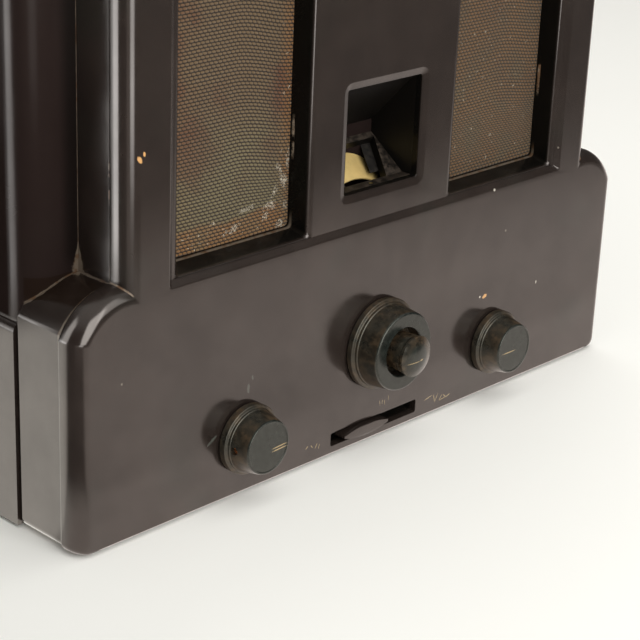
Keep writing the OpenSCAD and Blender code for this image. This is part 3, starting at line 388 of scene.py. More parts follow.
def slot_walls(shell):
    profile = ((0.5, 0.0), (0.15, 0.12), (0.0, 0.5), (0.0, FRONT_WALL))
    z0, z1 = SLOT_Z - SLOT_H / 2, SLOT_Z + SLOT_H / 2
    return straight_walls(shell, SLOT_L / 2, z0, z1, SLOT_R, profile, n=5)


def spindle_holes(shell):
    holes = []
    profile = ((0.4, 0.0), (0.0, 0.4), (0.0, FRONT_WALL))
    for cx, cz, r in (
        (-KNOB_X, KNOB_Z, SPINDLE_HOLE_R),
        (KNOB_X, KNOB_Z, SPINDLE_HOLE_R),
        (0.0, TUNE_Z, TUNING_HOLE_R),
    ):
        holes.append(shell.loft([facing(arc(cx, cz, r + o, 0, 345, 23), y) for o, y in profile])[0])
    return holes


def opening_walls(shell):
    """Both openings, with sills that rise and pillar reveals that splay towards the cloth."""
    loops = []
    z0, z1 = RECESS_Z0 + RECESS_BEVEL, RECESS_Z1 - RECESS_BEVEL
    far, near = OPENINGS_W / 2 + LIP_OUT, PILLAR_W / 2
    reach = CLOTH_Y - RECESS_DEPTH
    for side in (-1, 1):
        rings = []
        for o, y in ((0.0, 0.0), (1.2, 0.12), (2.2, 0.5), (2.9, 1.2), (LIP_IN, 2.4), (LIP_IN, reach)):
            deep = y / reach
            rise = LIP_CLIMB * o - LIP_DROP + SILL_RISE * deep
            outline = rectangle(near + o + (SPLAY - LIP_IN) * deep, far - o, z0 + rise, z1 - rise, 2.0)
            rings.append(facing([(side * x, z) for x, z in outline], RECESS_DEPTH + y))
        loops.append(shell.loft(rings)[0])
    return loops


def window_walls(shell):
    b, d = WINDOW_BEVEL, WINDOW_BEVEL_DEPTH
    profile = [(b + 0.4, 0.0), (b, 0.15), (0.45, d), (0.1, d + 0.2), (0.0, d + 0.6)]
    profile.append((0.0, FRONT_WALL - RECESS_DEPTH))
    return straight_walls(shell, WINDOW_W / 2, WINDOW_Z0, WINDOW_Z1, 1.2, profile, RECESS_DEPTH)


def front_panel(shell):
    """The front slab: rounded bead, flat face, recess, openings, window, slot and knob holes."""
    face_loop = bead_and_rim(shell)
    recess = recess_walls(shell)
    shell.fill(face_loop, recess[0], slot_walls(shell)[0], *spindle_holes(shell))
    shell.fill(recess[-1], *opening_walls(shell), window_walls(shell)[0])


def block_and_plinth(shell):
    """Both stand behind the bead, each with a soft rear edge."""
    for outline, depth in ((block_outline, BODY_BACK + 2), (plinth_outline, PLINTH_BACK)):
        profile = ((0, BEAD_T - 0.5), (0, depth - 0.6), (0.2, depth - 0.15), (0.6, depth))
        shell.fill(shell.loft([facing(outline(o), y) for o, y in profile])[-1])


def body_walls(shell):
    rings = [facing(body_outline(inset), BODY_BACK + y) for inset, y in rounding(CORNER_R, 12)]
    rings.append(facing(body_outline(0.0), CASE_D - 0.5))
    rings.append(facing(body_outline(0.5), CASE_D))
    outer = shell.loft(rings)
    shell.fill(outer[0])
    inner = shell.loft([facing(body_outline(0.0, WALL), y) for y in (CASE_D, BODY_BACK + WALL)])
    shell.bridge(outer[-1], inner[0])


def rear_plinth(shell):
    """The flanks at the back with their rounded ledge."""
    side, inside = REAR_W / 2, BODY_W / 2 - WALL
    half = [(side, 0.0)] + arc(side - LEDGE_R, LEDGE_Z - LEDGE_R, LEDGE_R, 0, 90, 8)
    half += [(inside, LEDGE_Z), (inside, 0.0)]
    for s in (-1, 1):
        flank = [(s * x, z) for x, z in half]
        shell.solid([facing(flank, y) for y in (REAR_FRONT, CASE_D - 0.06)])


def rim(shell):
    """The inner walls and the rim, seen from below."""
    w, back = PLINTH_W / 2 - SET_IN - WALL, CASE_D - 0.2
    path = [(-w, back), (-w, FRONT_WALL), (w, FRONT_WALL), (w, back)]
    low, high = (shell.ring([at(x, y, z) for x, y in path]) for z in (0, RIM_TOP))
    shell.bridge(low, high, closed=False)
    side = PLINTH_W / 2
    foot = side - SET_IN - FOOT_R
    right = [(side - inset - FOOT_R, y) for inset, y in rounding(BEAD_R, 14, BEAD_DEPTH) if y > RIM_BEVEL]
    right += [(side - FOOT_R, BEAD_T), (foot, BEAD_T), (foot, PLINTH_BACK), (BODY_W / 2, PLINTH_BACK)]
    right += [(BODY_W / 2, REAR_FRONT), (REAR_W / 2, REAR_FRONT), (REAR_W / 2, back)]
    outline = right + [(x, y) for x, y in reversed(path)] + [(-x, y) for x, y in reversed(right)]
    shell.fill(shell.ring([at(x, y, 0) for x, y in outline]))


def cabinet_shell(material):
    """The whole moulding in one mesh."""
    shell = Shell()
    front_panel(shell)
    block_and_plinth(shell)
    body_walls(shell)
    rear_plinth(shell)
    rim(shell)
    made = shell.build("cabinet_shell", material, "case", at(0, 0, 0))
    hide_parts("cabinet")


# ---- knobs and lever
def smooth_profile(points, radius, n=4):
    """A polyline with its corners rounded."""
    out = [points[0]]
    for a, b, c in zip(points, points[1:], points[2:]):
        a, b, c = Vector(a), Vector(b), Vector(c)
        reach = min(radius, (a - b).length * 0.45, (c - b).length * 0.45)
        start, end = b + (a - b).normalized() * reach, b + (c - b).normalized() * reach
        for i in range(n + 1):
            t = i / n
            out.append(tuple(start.lerp(b, t).lerp(b.lerp(end, t), t)))
    out.append(points[-1])
    return out


def bore(piece, place, direction, r, depth):
    """A round hole from a knob's side inwards, for its grub screw."""
    shell = Shell()
    along, back = Vector(direction), Vector((0, 1, 0))
    side = along.cross(back)
    rings = []
    for reach in (0.0, depth):
        centre = at(*place) + along * reach * MM
        rings.append([centre + (side * x + back * y) * r * MM for x, y in circle(24)])
    shell.solid(rings)
    tool = placed("bore", shell.mesh("bore"))
    cut = piece.modifiers.new("bore", "BOOLEAN")
    cut.operation, cut.object, cut.solver = "DIFFERENCE", tool, "EXACT"
    bpy.context.view_layer.update()
    weighted = piece.modifiers["even_normals"]
    weighted.show_viewport = weighted.show_render = False
    bpy.context.view_layer.update()
    cut_mesh = bpy.data.meshes.new_from_object(piece.evaluated_get(bpy.context.evaluated_depsgraph_get()))
    piece.modifiers.remove(cut)
    weighted.show_viewport = weighted.show_render = True
    cut_mesh.set_sharp_from_angle(angle=math.radians(SHARP))
    piece.data = cut_mesh
    bpy.data.objects.remove(tool)


def lathe(name, centre, profile, material, body, replaced, hole, n=112):
    """A turned piece about an axis along y; profile is (radius, y) from the back to the tip.

    hole is the grub screw's: y, direction and the radii where it starts and ends.
    """
    shell = Shell()
    cx, cz = centre
    rings = []
    for r, y in profile:
        rings.append([at(cx + r * x, y, cz + r * z) for x, z in circle(n)])
    made = shell.loft(rings)
    shell.fan(made[-1], at(cx, profile[-1][1], cz))
    shell.fan(made[0], at(cx, profile[0][1], cz))
    piece = shell.build(name, material, body, at(cx, 0, cz))
    y, direction, inner, outer = hole
    start = (cx + direction[0] * inner, y, cz + direction[2] * inner)
    bore(piece, start, direction, GRUB_HOLE_R, outer - inner)
    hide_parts(replaced)


def small_knob(name, x, material, body, direction):
    face = KNOB_FACE
    outline = [
        (4.0, -0.8), (16.8, -0.8), (16.8, -4.2), (15.3, -4.7), (15.3, -5.7), (14.9, -6.0),
        (13.0, face + 0.9), (12.7, face), (11.8, face), (11.7, face + 0.3), (0.4, face + 0.3),
    ]
    lathe(name, (x, KNOB_Z), smooth_profile(outline, 0.45), material, body, name,
          (-8, direction, 6.0, 17.0))


def tuning_knob(material):
    face = TUNING_FACE
    outline = [
        (6.0, -0.8), (22.9, -0.8), (22.9, -3.7), (21.2, -4.2), (21.2, -5.4), (20.7, -5.8),
        (19.6, face + 1.0), (19.0, face), (12.6, face), (12.0, face + 0.6), (12.0, -10.0), (6.0, -10.0),
    ]
    lathe("tuning_knob", (0.0, TUNE_Z), smooth_profile(outline, 0.5), material, "tuning",
          "tuning_knob", (-6.5, (1, 0, 0), 7.0, 23.0))


def trimmer_knob(material):
    r, edge, dome = 10.2, TRIMMER_EDGE, TRIMMER_DOME
    ball = (r * r + dome * dome) / (2 * dome)
    outline = [(3.0, -10.4), (9.3, -10.4), (9.8, -22.2), (r, -23.0), (r, edge)]
    profile = smooth_profile(outline, 0.5)
    edge_turn = math.asin(r / ball)
    for i in range(1, 14):
        t = edge_turn * (1 - i / 14)
        profile.append((ball * math.sin(t), edge - dome + ball * (1 - math.cos(t))))
    lathe("trimmer_knob", (0.0, TUNE_Z), profile, material, "trimmer", "trimmer_knob",
          (-20, (1, 0, 0), 4.0, 11.0))


def tongue_outline(inset, n=24):
    """The lever's tongue seen from the front: two shallow arcs that meet in points."""
    half, sag = TONGUE_L / 2, TONGUE_H / 2
    r = ((half + 2) ** 2 + sag * sag) / (2 * sag)
    run = [(half - inset) * (1 - 2 * i / n) for i in range(n + 1)]
    top = [(x, math.sqrt(r * r - x * x) - r + sag - inset) for x in run]
    outline = top + [(x, -z) for x, z in reversed(top)]
    return [(LEVER_X + x, SLOT_Z + z) for x, z in outline]


def lever_knob(material):
    """The tongue in front of the slot and its stem behind it."""
    shell = Shell()
    out = TONGUE_OUT
    profile = ((0.0, 9.0), (0.0, 0.5 - out), (0.12, 0.18 - out), (0.5, -out))
    shell.solid([facing(tongue_outline(o), y) for o, y in profile])
    x, z = LEVER_X, SLOT_Z
    shell.solid([facing(rectangle(x - 5, x + 5, z - 2, z + 2, 0.4), y) for y in (8.5, 11.5)])
    piece = shell.build("lever_knob", material, "lever", at(x, 0, z))
    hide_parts("lever_knob")


# ---- speaker cloth
def speaker_cloth(material):
    """One stretched sheet behind both openings, cut out round the dial."""
    columns, column, low_rows, low_row, high_rows = 18, 5.0, 14, 5.5, 36
    xs = [-CLOTH_X + column * i for i in range(columns)] + [-CUT_X, -20.0, 0.0, 20.0, CUT_X]
    xs += [CLOTH_X - column * i for i in reversed(range(columns))]
    zs = [CLOTH_Z0 + low_row * i for i in range(low_rows)] + [CUT_Z]
    zs += [CUT_Z + (CLOTH_Z1 - CUT_Z) * i / high_rows for i in range(1, high_rows + 1)]
    shell = Shell()
    rows = []
    for z in zs:
        row = []
        for x in xs:
            slack = SLACK * math.sin(x * 0.11 + z * 0.05) * math.sin(z * 0.09 + 1.0)
            row.append(at(x, CLOTH_Y + CLOTH_OFF + max(0.0, slack), z))
        rows.append(shell.ring(row))
    for low, high, z in zip(rows, rows[1:], zs):
        for i, x in enumerate(xs[:-1]):
            if z >= CUT_Z or xs[i + 1] <= -CUT_X or x >= CUT_X:
                shell.face((low[i], low[i + 1], high[i + 1], high[i]))
    piece = shell.build("speaker_cloth_sheet", material, "case", at(0, 0, 0), angle=60, outward=False)
    thick = piece.modifiers.new("thickness", "SOLIDIFY")
    thick.thickness = CLOTH_T * MM
    thick.offset = 0.0
    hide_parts("speaker_cloth")


# ---- materials
class Nodes:
    """A node tree, built a few nodes at a time."""

    def __init__(self, tree, places):
        self.tree = tree
        self.where = tree.nodes.new("ShaderNodeTexCoord").outputs[places]

    def put(self, kind, settings=(), **inputs):
        node = self.tree.nodes.new(kind)
        for key, value in dict(settings).items():
            setattr(node, key, value)
        for key, value in inputs.items():
            socket = node.inputs[int(key[1:])] if key[0] == "_" else node.inputs[key.replace("_", " ")]
            if isinstance(value, bpy.types.NodeSocket):
                self.tree.links.new(value, socket)
            else:
                socket.default_value = value
        return node

    def math(self, operation, a, b=0.0, c=0.0, clamp=False):
        settings = {"operation": operation, "use_clamp": clamp}
        return self.put("ShaderNodeMath", settings, _0=a, _1=b, _2=c).outputs[0]

    def line(self, a, b, c):
        """a times b, plus c."""
        return self.math("MULTIPLY_ADD", a, b, c)

    def add(self, a, b):
        return self.math("ADD", a, b)

    def less(self, a, b):
        return self.math("SUBTRACT", a, b)

    def fold(self, operation, values):
        out = values[0]
        for value in values[1:]:
            out = self.math(operation, out, value)
        return out

    def most(self, *values):
        return self.fold("MAXIMUM", values)

    def length(self, a, b):
        return self.math("SQRT", self.add(self.times(a, a), self.times(b, b)))

    def times(self, *factors):
        return self.fold("MULTIPLY", factors)

    def noise(self, scale, detail=4.0, rough=0.5, warp=0.0):
        node = self.put("ShaderNodeTexNoise", Vector=self.where, Scale=scale, Detail=detail,
                        Roughness=rough, Distortion=warp)
        return node.outputs["Fac"]

    def between(self, value, low, high, to_low=0.0, to_high=1.0):
        settings = {"interpolation_type": "SMOOTHSTEP"}
        ends = {"_1": low, "_2": high, "_3": to_low, "_4": to_high}
        return self.put("ShaderNodeMapRange", settings, Value=value, **ends).outputs[0]

    def falls(self, value, low, high):
        return self.between(value, low, high, 1.0, 0.0)

    def span(self, value, rise, fall):
        """1 between two places, with soft ends that run over rise and fall."""
        return self.times(self.between(value, *rise), self.falls(value, *fall))

    def mix(self, fac, a, b):
        """Colour a where fac is 0, colour b where it is 1."""
        a, b = (v if isinstance(v, bpy.types.NodeSocket) else (*v, 1.0) for v in (a, b))
        return self.put("ShaderNodeMix", {"data_type": "RGBA"}, _0=fac, _6=a, _7=b).outputs[2]

    def parts(self, vector=None):
        node = self.put("ShaderNodeSeparateXYZ", Vector=vector or self.where)
        return node.outputs[0], node.outputs[1], node.outputs[2]

    def millimetres(self):
        return [self.times(part, 1 / MM) for part in self.parts()]


class Surface(Nodes):
    """A node material round one Principled shader."""

    def __init__(self, name, **shader):
        self.material = bpy.data.materials.new(name)
        self.material.use_nodes = True
        super().__init__(self.material.node_tree, "Object")
        self.shader = self.tree.nodes["Principled BSDF"]
        for key, value in shader.items():
            self.shader.inputs[key.replace("_", " ")].default_value = value

    def marks(self, places, ragged, grain, deep=4.0):
        """A mask over small marks seen from the front; deep is how far back they reach, in mm."""
        nearest = None
        for x, z, along, across, turn in places:
            there = self.put("ShaderNodeMapping", {"vector_type": "TEXTURE"}, Vector=self.where,
                             Location=(x * MM, 0, z * MM), Rotation=(0, -math.radians(turn), 0),
                             Scale=(along * MM, deep * MM, across * MM))
            far = self.put("ShaderNodeVectorMath", {"operation": "LENGTH"}, _0=there.outputs[0])
            far = far.outputs["Value"]
            nearest = far if nearest is None else self.math("MINIMUM", nearest, far)
        edge = self.line(self.noise(grain, 3.0, 0.7), 2 * ragged, nearest)
        return self.falls(edge, 0.65 + ragged, 1.05 + ragged)

    def colour(self, socket):
        self.tree.links.new(socket, self.shader.inputs["Base Color"])

    def rough(self, socket):
        self.tree.links.new(socket, self.shader.inputs["Roughness"])

    def bump(self, height, distance, strength=1.0, after=None):
        node = self.put("ShaderNodeBump", Height=height, Distance=distance, Strength=strength)
        if after is not None:
            self.tree.links.new(after, node.inputs["Normal"])
        self.tree.links.new(node.outputs[0], self.shader.inputs["Normal"])
        return node.outputs[0]


# Small marks, in mm and degrees: x, z, half length, half width, turn. On the case they are measured
# as at() does, on a knob from its middle.
GILT_MARKS = [
    (40.2, 9.2, 3.4, 0.35, 12), (44.9, 7.6, 2.9, 0.3, -72), (46.7, 7.6, 2.7, 0.3, 62),
    (50.0, 6.8, 2.2, 0.3, 50), (53.2, 6.6, 2.0, 0.35, -40), (55.8, 6.2, 2.0, 0.4, 18),
    (51.6, 5.6, 3.2, 0.3, 6), (-46.9, 9.2, 1.3, 0.35, 40), (-43.6, 8.8, 1.2, 0.3, -50),
    (-40.6, 8.2, 1.8, 0.3, 60), (-38.6, 7.4, 1.6, 0.25, 75), (3.6, 17.4, 1.6, 0.25, -80),
    (5.3, 17.4, 1.4, 0.25, 85), (7.0, 16.8, 1.5, 0.25, -82), (9.8, 18.4, 1.5, 0.22, 88),
]
PALE_MARKS = [(76.1, 54.7, 0.75, 0.7, 0), (122.5, 51.6, 0.5, 1.0, 0), (81.4, 110.6, 0.8, 0.8, 0)]
FAINT_MARKS = [(-108.4, 32.2, 3.4, 0.8, 32), (-86.4, 51.4, 0.9, 2.6, 0), (-84.0, 56.0, 0.6, 1.6, 15)]
ORANGE_CHIPS = [
    (79.9, 54.3, 1.9, 1.2, 20), (-150.7, 170.6, 1.1, 1.9, 30), (-148.4, 172.6, 0.7, 1.2, 10),
    (-163.0, 168.0, 1.6, 1.6, 0),
]
FLUFF = [
    (-53.7, 140.1, 2.4, 5.4, 20), (-61.4, 128.6, 4.4, 2.1, 10), (-54.6, 118.4, 3.0, 2.4, 0),
    (-83.8, 122.6, 3.8, 1.8, 25), (-88.8, 121.4, 2.2, 1.3, 30), (-51.0, 149.5, 1.4, 5.0, 0),
    (-76.0, 130.2, 5.2, 1.2, 5), (-58.6, 135.0, 3.4, 1.6, 60), (-64.0, 124.5, 2.6, 1.4, 40),
    (-97.0, 127.4, 1.8, 0.8, 15), (-56.4, 145.0, 1.8, 3.0, 40), (-52.4, 127.5, 1.6, 3.2, 0),
]
VOLUME_MARK = [(7.0, -1.3, 5.6, 0.45, 3), (7.0, -2.7, 5.6, 0.45, 3)]
TONE_MARK = [(-3.8, -1.0, 6.4, 0.4, 0)]
TRIMMER_MARK = [(-3.0, -1.9, 6.2, 0.4, 2), (1.6, -1.5, 2.0, 0.7, 10)]


class CaseMasks:
    """Where the case's finish and its painted shade change, worked out in mm from its shapes; each mask runs
    from 0 to 1.
    """

    def __init__(self, s):
        self.s = s
        x, y, z = s.millimetres()
        wide = s.math("ABSOLUTE", x)
        self.y, self.z, self.wide = y, z, wide
        # distances from the body's rounded outline, the crown and the block's side
        past_x = s.most(s.less(wide, BODY_W / 2 - CORNER_R), 0.0)
        past_y = s.most(s.less(BODY_BACK + CORNER_R, y), 0.0)
        self.off_body = s.less(s.length(past_x, past_y), CORNER_R)
        self.off_plinth = s.less(s.length(s.less(wide, CROWN_X), s.less(z, CROWN_Z)), CROWN_R)
        self.off_block = s.less(wide, BLOCK_SIDE)
        self.behind = s.between(y, BEAD_T - 0.4, BEAD_T + 0.1)
        self.above = s.between(self.off_plinth, -1.2, -0.6)
        self.ragged = s.less(s.noise(420.0, 4.0, 0.7), 0.5)
        # the body, the nook between block and body, the openings' walls and the crown; the last three also
        # carry painted shade
        self.body = s.times(
            s.between(y, BODY_BACK - 1, BODY_BACK - 0.3),
            s.between(z, LEDGE_Z - 0.5, LEDGE_Z + 1.5),
            s.falls(self.off_body, 0.3, 0.7),
        )
        self.nook = s.times(
            s.span(y, (BEAD_T + 1.1, BEAD_T + 3.1), (BODY_BACK + 0.2, BODY_BACK + 0.6)),
            s.span(self.off_block, (0, 0.7), (3, 10.5)),
            s.between(z, 112, 125),
        )
        self.opening = s.times(
            s.span(y, (RECESS_DEPTH + 0.7, RECESS_DEPTH + 2.3), (CLOTH_Y + 0.2, CLOTH_Y + 0.8)),
            s.falls(wide, OPENINGS_W / 2 + 3, OPENINGS_W / 2 + 4),
        )
        top = CROWN_Z + CROWN_R
        self.crown = s.times(
            s.span(y, (BEAD_T + 0.1, BEAD_T + 1.5), (PLINTH_BACK - 0.5, PLINTH_BACK + 0.5)),
            s.span(z, (top - 15.5, top - 5.5), (top + 0.5, top + 1)),
            s.between(wide, BLOCK_W / 2 + 0.2, BLOCK_W / 2 + 0.8),
        )

    def broken(self, distance, raggedness):
        """1 close to a corner, ending in a broken edge."""
        return self.s.falls(self.s.line(self.ragged, raggedness, distance), 0.7, 1.2)

    def corner(self, a, b, reach, raggedness=3.6):
        return self.broken(self.s.math("DIVIDE", self.s.most(a, b), reach), raggedness)

    def polish(self, facing_x):
        """How strongly the case mirrors: least in the nook, the openings, on the crown and the body."""
        s, y = self.s, self.y
        flat = BODY_BACK + CORNER_R
        dull = s.add(
            s.between(y, PLINTH_BACK - 0.5, PLINTH_BACK + 3.5, 0.88, 0.60),
            s.between(y, flat - 1, flat + 2, 0.0, 0.28),
        )
        dull = s.add(dull, s.between(self.z, 150, 260, 0.12, 0.0))
        in_recess = s.falls(self.wide, RECESS_W / 2 + 0.5, RECESS_W / 2 + 1.5)
        lip = s.times(s.between(facing_x, 0.10, 0.30), in_recess, s.span(y, (0.2, 0.5), (5.2, 5.8)))
        lost = s.most(s.times(s.most(self.nook, self.opening), 0.84), s.times(self.crown, 0.62),
                      s.times(self.body, dull), s.times(lip, 0.75))
        return s.times(s.between(s.noise(38.0, 5.0, 0.65), 0.3, 0.7, 0.45, 0.55), s.less(1.0, lost))

    def settled(self):
        """Dirt where the block and the body stand on the shoulders, and in the corner between them."""
        s, off_plinth = self.s, self.off_plinth
        walls = s.most(self.off_block, self.off_body)
        over_plinth = s.falls(self.y, PLINTH_BACK - 0.5, PLINTH_BACK + 0.5)
        by_shoulder = s.times(self.above, s.falls(off_plinth, 2, 4), over_plinth)
        body_foot = s.times(self.corner(s.times(off_plinth, 2.4), self.off_body, 0.9, 2.0), by_shoulder, 0.30)
        block_foot = s.times(self.corner(s.times(off_plinth, 1.6), self.off_block, 0.9), by_shoulder,
                             self.behind, 0.34)
        side_only = s.times(s.falls(self.z, 360, 390), s.between(self.wide, 150, 153))
        reached = s.times(self.behind, self.above, side_only)
        narrowing = s.times(s.between(off_plinth, 0, 14, 1.0, 0.05), 3.4)
        in_corner = s.times(self.broken(s.math("DIVIDE", walls, narrowing), 2.0), s.between(self.z, 110, 112),
                            reached, 0.4)
        crease = s.times(s.falls(walls, 0.1, 0.2), reached, 0.04)
        return s.most(body_foot, block_foot, in_corner, crease)

    def mitre(self):
        """Dirt where the foot of the block's bead meets the shoulder's bead."""
        s, y = self.s, self.y
        round_off = s.less(1.0, s.math("MINIMUM", s.math("DIVIDE", y, BEAD_DEPTH), 1.0))
        bulge = s.math("SQRT", s.less(1.0, s.times(round_off, round_off)))
        inset = s.line(bulge, -BEAD_R, BEAD_R)
        from_middle = s.length(s.less(self.wide, SHOULDER_X), s.less(self.z, SHOULDER_Z))
        off_shoulder = s.less(s.add(from_middle, inset), SHOULDER_R)
        off_bead = s.less(s.add(self.wide, inset), BLOCK_W / 2)
        return s.times(self.corner(off_shoulder, off_bead, 0.6, 1.2), s.between(self.z, 102, 105),
                       s.span(y, (0.8, 1.2), (BEAD_T - 0.3, BEAD_T + 0.1)), 0.6)

    def grime(self):
        """All the dirt: settled, along the mitre, in chips of the bead's rear step and low on that step."""
        s, z = self.s, self.z
        step = s.times(self.behind, s.falls(self.y, BEAD_T + 0.8, BEAD_T + 1.8))
        chipped = s.between(s.noise(160.0, 5.0, 0.7), 0.40, 0.56)
        chips = s.times(step, chipped, s.span(z, (148, 153), (166, 170)))
        low = s.span(z, (85, 98), (118, 125))
        return s.most(self.settled(), self.mitre(), s.times(chips, 0.9), s.times(step, low, 0.35))


def clouded_black(s, masks):
    """The moulding's own colour, clouded brown-black with green patches, and painted shade: dark brown on the
    crown beside the block and near black in the nook and the openings.
    """
    tone = s.line(s.noise(140.0, 5.0, 0.65), 0.25, s.times(s.noise(9.0, 6.0, 0.6), 0.75))
    base = s.mix(s.between(tone, 0.35, 0.65), CASE_DARK, CASE_LIGHT)
    base = s.mix(s.between(s.noise(21.0, 3.0, 0.5), 0.52, 0.72, 0.0, 0.5), base, CASE_GREEN)
    base = s.mix(s.times(masks.body, 0.8), base, CASE_BODY)
    # painted shade on the crown beside the block
    base = s.mix(s.times(masks.crown, 0.6), base, CROWN_SHADE)
    # painted shade: the nook and the openings' walls are painted near black
    return s.mix(s.most(s.times(masks.nook, 0.6), s.times(masks.opening, 0.9)), base, SHADE_BLACK)


def wear(s, base):
    """Pale specks, what is left of the gilt, scuffs and chips, over a base colour."""
    specks = s.put("ShaderNodeTexVoronoi", {"feature": "F1"}, Vector=s.where, Scale=75.0)
    near = s.math("LESS_THAN", specks.outputs["Distance"], 0.05)
    rare = s.math("GREATER_THAN", s.parts(specks.outputs["Color"])[0], 0.95)
    base = s.mix(s.times(near, rare, 0.45), base, SPECK)
    # marks, how broken their edges are, the scale of the breaks, strength, colour
    for places, ragged, grain, strength, colour in (
        (GILT_MARKS, 0.55, 900.0, 0.55, GILT),
        (PALE_MARKS, 0.5, 700.0, 0.75, PALE),
        (FAINT_MARKS, 0.9, 700.0, 0.12, FAINT),
        (ORANGE_CHIPS, 0.4, 700.0, 1.0, ORANGE),
    ):
        base = s.mix(s.times(s.marks(places, ragged, grain), strength), base, colour)
    return base


def phenolic_case():
    """Old black phenolic: polished in front, duller behind, dusty on top, with dirt in its corners and
    painted shade in the nook, the openings and on the crown.
    """
    s = Surface("phenolic_case", IOR=CASE_IOR, Specular_Tint=(*CASE_TINT, 1.0))
    masks = CaseMasks(s)
    facing_x, _, facing_z = s.parts(s.put("ShaderNodeNewGeometry").outputs["Normal"])
    s.tree.links.new(masks.polish(facing_x), s.shader.inputs["Specular IOR Level"])
    dust = s.times(s.between(facing_z, 0.45, 0.97), s.between(s.noise(55.0, 6.0, 0.7), 0.40, 0.78, 0.0, 0.14))
    base = s.mix(dust, clouded_black(s, masks), DUST)
    grime = masks.grime()
    rusty = s.between(s.noise(240.0, 3.0, 0.6), 0.5, 0.6)
    base = s.mix(grime, base, s.mix(s.times(rusty, 0.8), SOIL, RUST))
    s.colour(wear(s, base))
    worn = s.noise(26.0, 6.0, 0.62, warp=0.4)
    dull = s.line(s.add(grime, dust), 0.4, s.times(masks.body, 0.08))
    s.rough(s.add(s.between(worn, 0.3, 0.72, *CASE_ROUGH), dull))
    first = s.bump(s.noise(14.0, 2.0, 0.5), 0.0005, 0.3)
    s.bump(s.noise(900.0, 3.0, 0.6), 0.00002, 0.2, after=first)
    return s.material


def phenolic_knob(name, face_y, marks=(), rough=(0.2, 0.3)):
    """A knob's finish: greenish black front, browner worn sides, and what is left of its painted mark."""
    s = Surface(name, IOR=1.55, Specular_IOR_Level=0.40, Specular_Tint=(1.0, 1.0, 0.88, 1.0))
    side = s.between(s.parts()[1], (face_y + 0.5) * MM, (face_y + 1.3) * MM)
    fine = s.noise(330.0, 5.0, 0.65)
    mottle = s.between(fine, 0.35, 0.65)
    brown, black = s.mix(mottle, KNOB_BROWN, KNOB_WORN), s.mix(mottle, KNOB_BLACK, KNOB_GREEN)
    patch = s.times(side, s.between(s.noise(45.0, 4.0, 0.6), 0.35, 0.6, 0.25, 1.0))
    base = s.mix(patch, black, brown)
    if marks:
        base = s.mix(s.times(s.marks(marks, 0.35, 1400.0, 40.0), 0.8), base, KNOB_GILT)
    s.colour(base)
    worn = s.between(s.noise(60.0, 5.0, 0.6), 0.3, 0.7, *rough)
    s.rough(s.line(patch, 0.16, worn))
    first = s.bump(s.noise(60.0, 3.0), 0.0003, 0.3)
    s.bump(fine, 0.00004, 0.4, after=first)
    return s.material


def weave(s, x, z, fray):
    """The cloth's relief: staggered grains on rows that sag towards the edges."""
    loose = s.between(z, 122, 150)
    sag = s.add(s.between(x, -85, -46, 0.0, 6.2), s.between(x, 92, 131, 0.0, 4.5))
    wander = s.times(s.less(s.noise(16.0, 2.0), 0.5), 2.2)
    v = s.math("DIVIDE", s.add(z, s.line(sag, loose, wander)), ROW_PITCH)
    along = s.math("DIVIDE", s.add(x, s.times(wander, 0.7)), GRAIN_PITCH)
    u = s.line(s.math("FLOOR", v), 0.5, along)
    fu, fv = (s.less(s.math("FRACT", t), 0.5) for t in (u, v))
    fu = s.line(fv, 0.25, fu)
    grain = s.times(s.line(s.times(fu, fu), -2.6, 1.0), s.line(s.times(fv, fv), -3.9, 1.0))
    return s.line(s.less(fray, 0.5), 0.35, grain)


def cloth_stain(s, x, z):
    """Where the cloth is stained: along its foot and down its edges."""
    edge = s.math("ADD", s.between(x, -60, -50), s.between(x, 118, 130), clamp=True)
    ragged = s.line(s.noise(60.0, 4.0), 10.0, z)
    foot = s.times(s.falls(ragged, 131.5, 134.5), s.between(x, -132, -115, 0.8, 1.0))
    foot = s.most(foot, s.times(s.between(x, -130, -100, 0.45, 0.0), 0.6))
    return s.most(s.times(foot, 0.85), s.times(edge, 0.8))


def speaker_fabric():
    """Coarse woven cloth, faded, stained and dusty."""
    s = Surface("speaker_fabric", Sheen_Weight=0.15, Sheen_Roughness=0.5, Specular_IOR_Level=0.2)
    x, _, z = s.millimetres()
    fray = s.noise(900.0, 4.0, 0.7)
    grain = weave(s, x, z, fray)
    reddish = s.between(s.noise(24.0, 4.0, 0.6), 0.46, 0.66, 0.0, 0.6)
    red = s.math("MULTIPLY_ADD", s.between(z, 150, 185), 0.45, reddish, clamp=True)
    thread = s.mix(red, CLOTH_OLIVE, CLOTH_RED)
    stain = cloth_stain(s, x, z)
    thread = s.mix(s.times(stain, s.between(s.noise(70.0, 4.0), 0.3, 0.6, 0.5, 1.0)), thread, CLOTH_STAIN)
    strands = s.between(s.noise(1100.0, 4.0, 0.7, warp=0.6), 0.47, 0.57)
    fluff = s.times(s.marks(FLUFF, 1.4, 700.0, 40.0), strands)
    flecks = s.times(s.between(s.noise(520.0, 3.0, 0.6), 0.66, 0.72), s.most(stain, 0.08))
    colour = s.mix(s.between(grain, 0.22, 0.80), CLOTH_GAP, thread)
    colour = s.mix(s.times(s.most(fluff, flecks), 0.9), colour, CLOTH_FLUFF)
    # the cloth is darker over the right-hand opening
    s.colour(s.mix(s.times(s.between(x, -20, 50), 0.42), colour, CLOTH_SHADE))
    s.rough(s.between(fray, 0.3, 0.7, 0.8, 0.98))
    s.bump(s.line(fluff, 0.8, grain), 0.0005, 0.8)
    return s.material


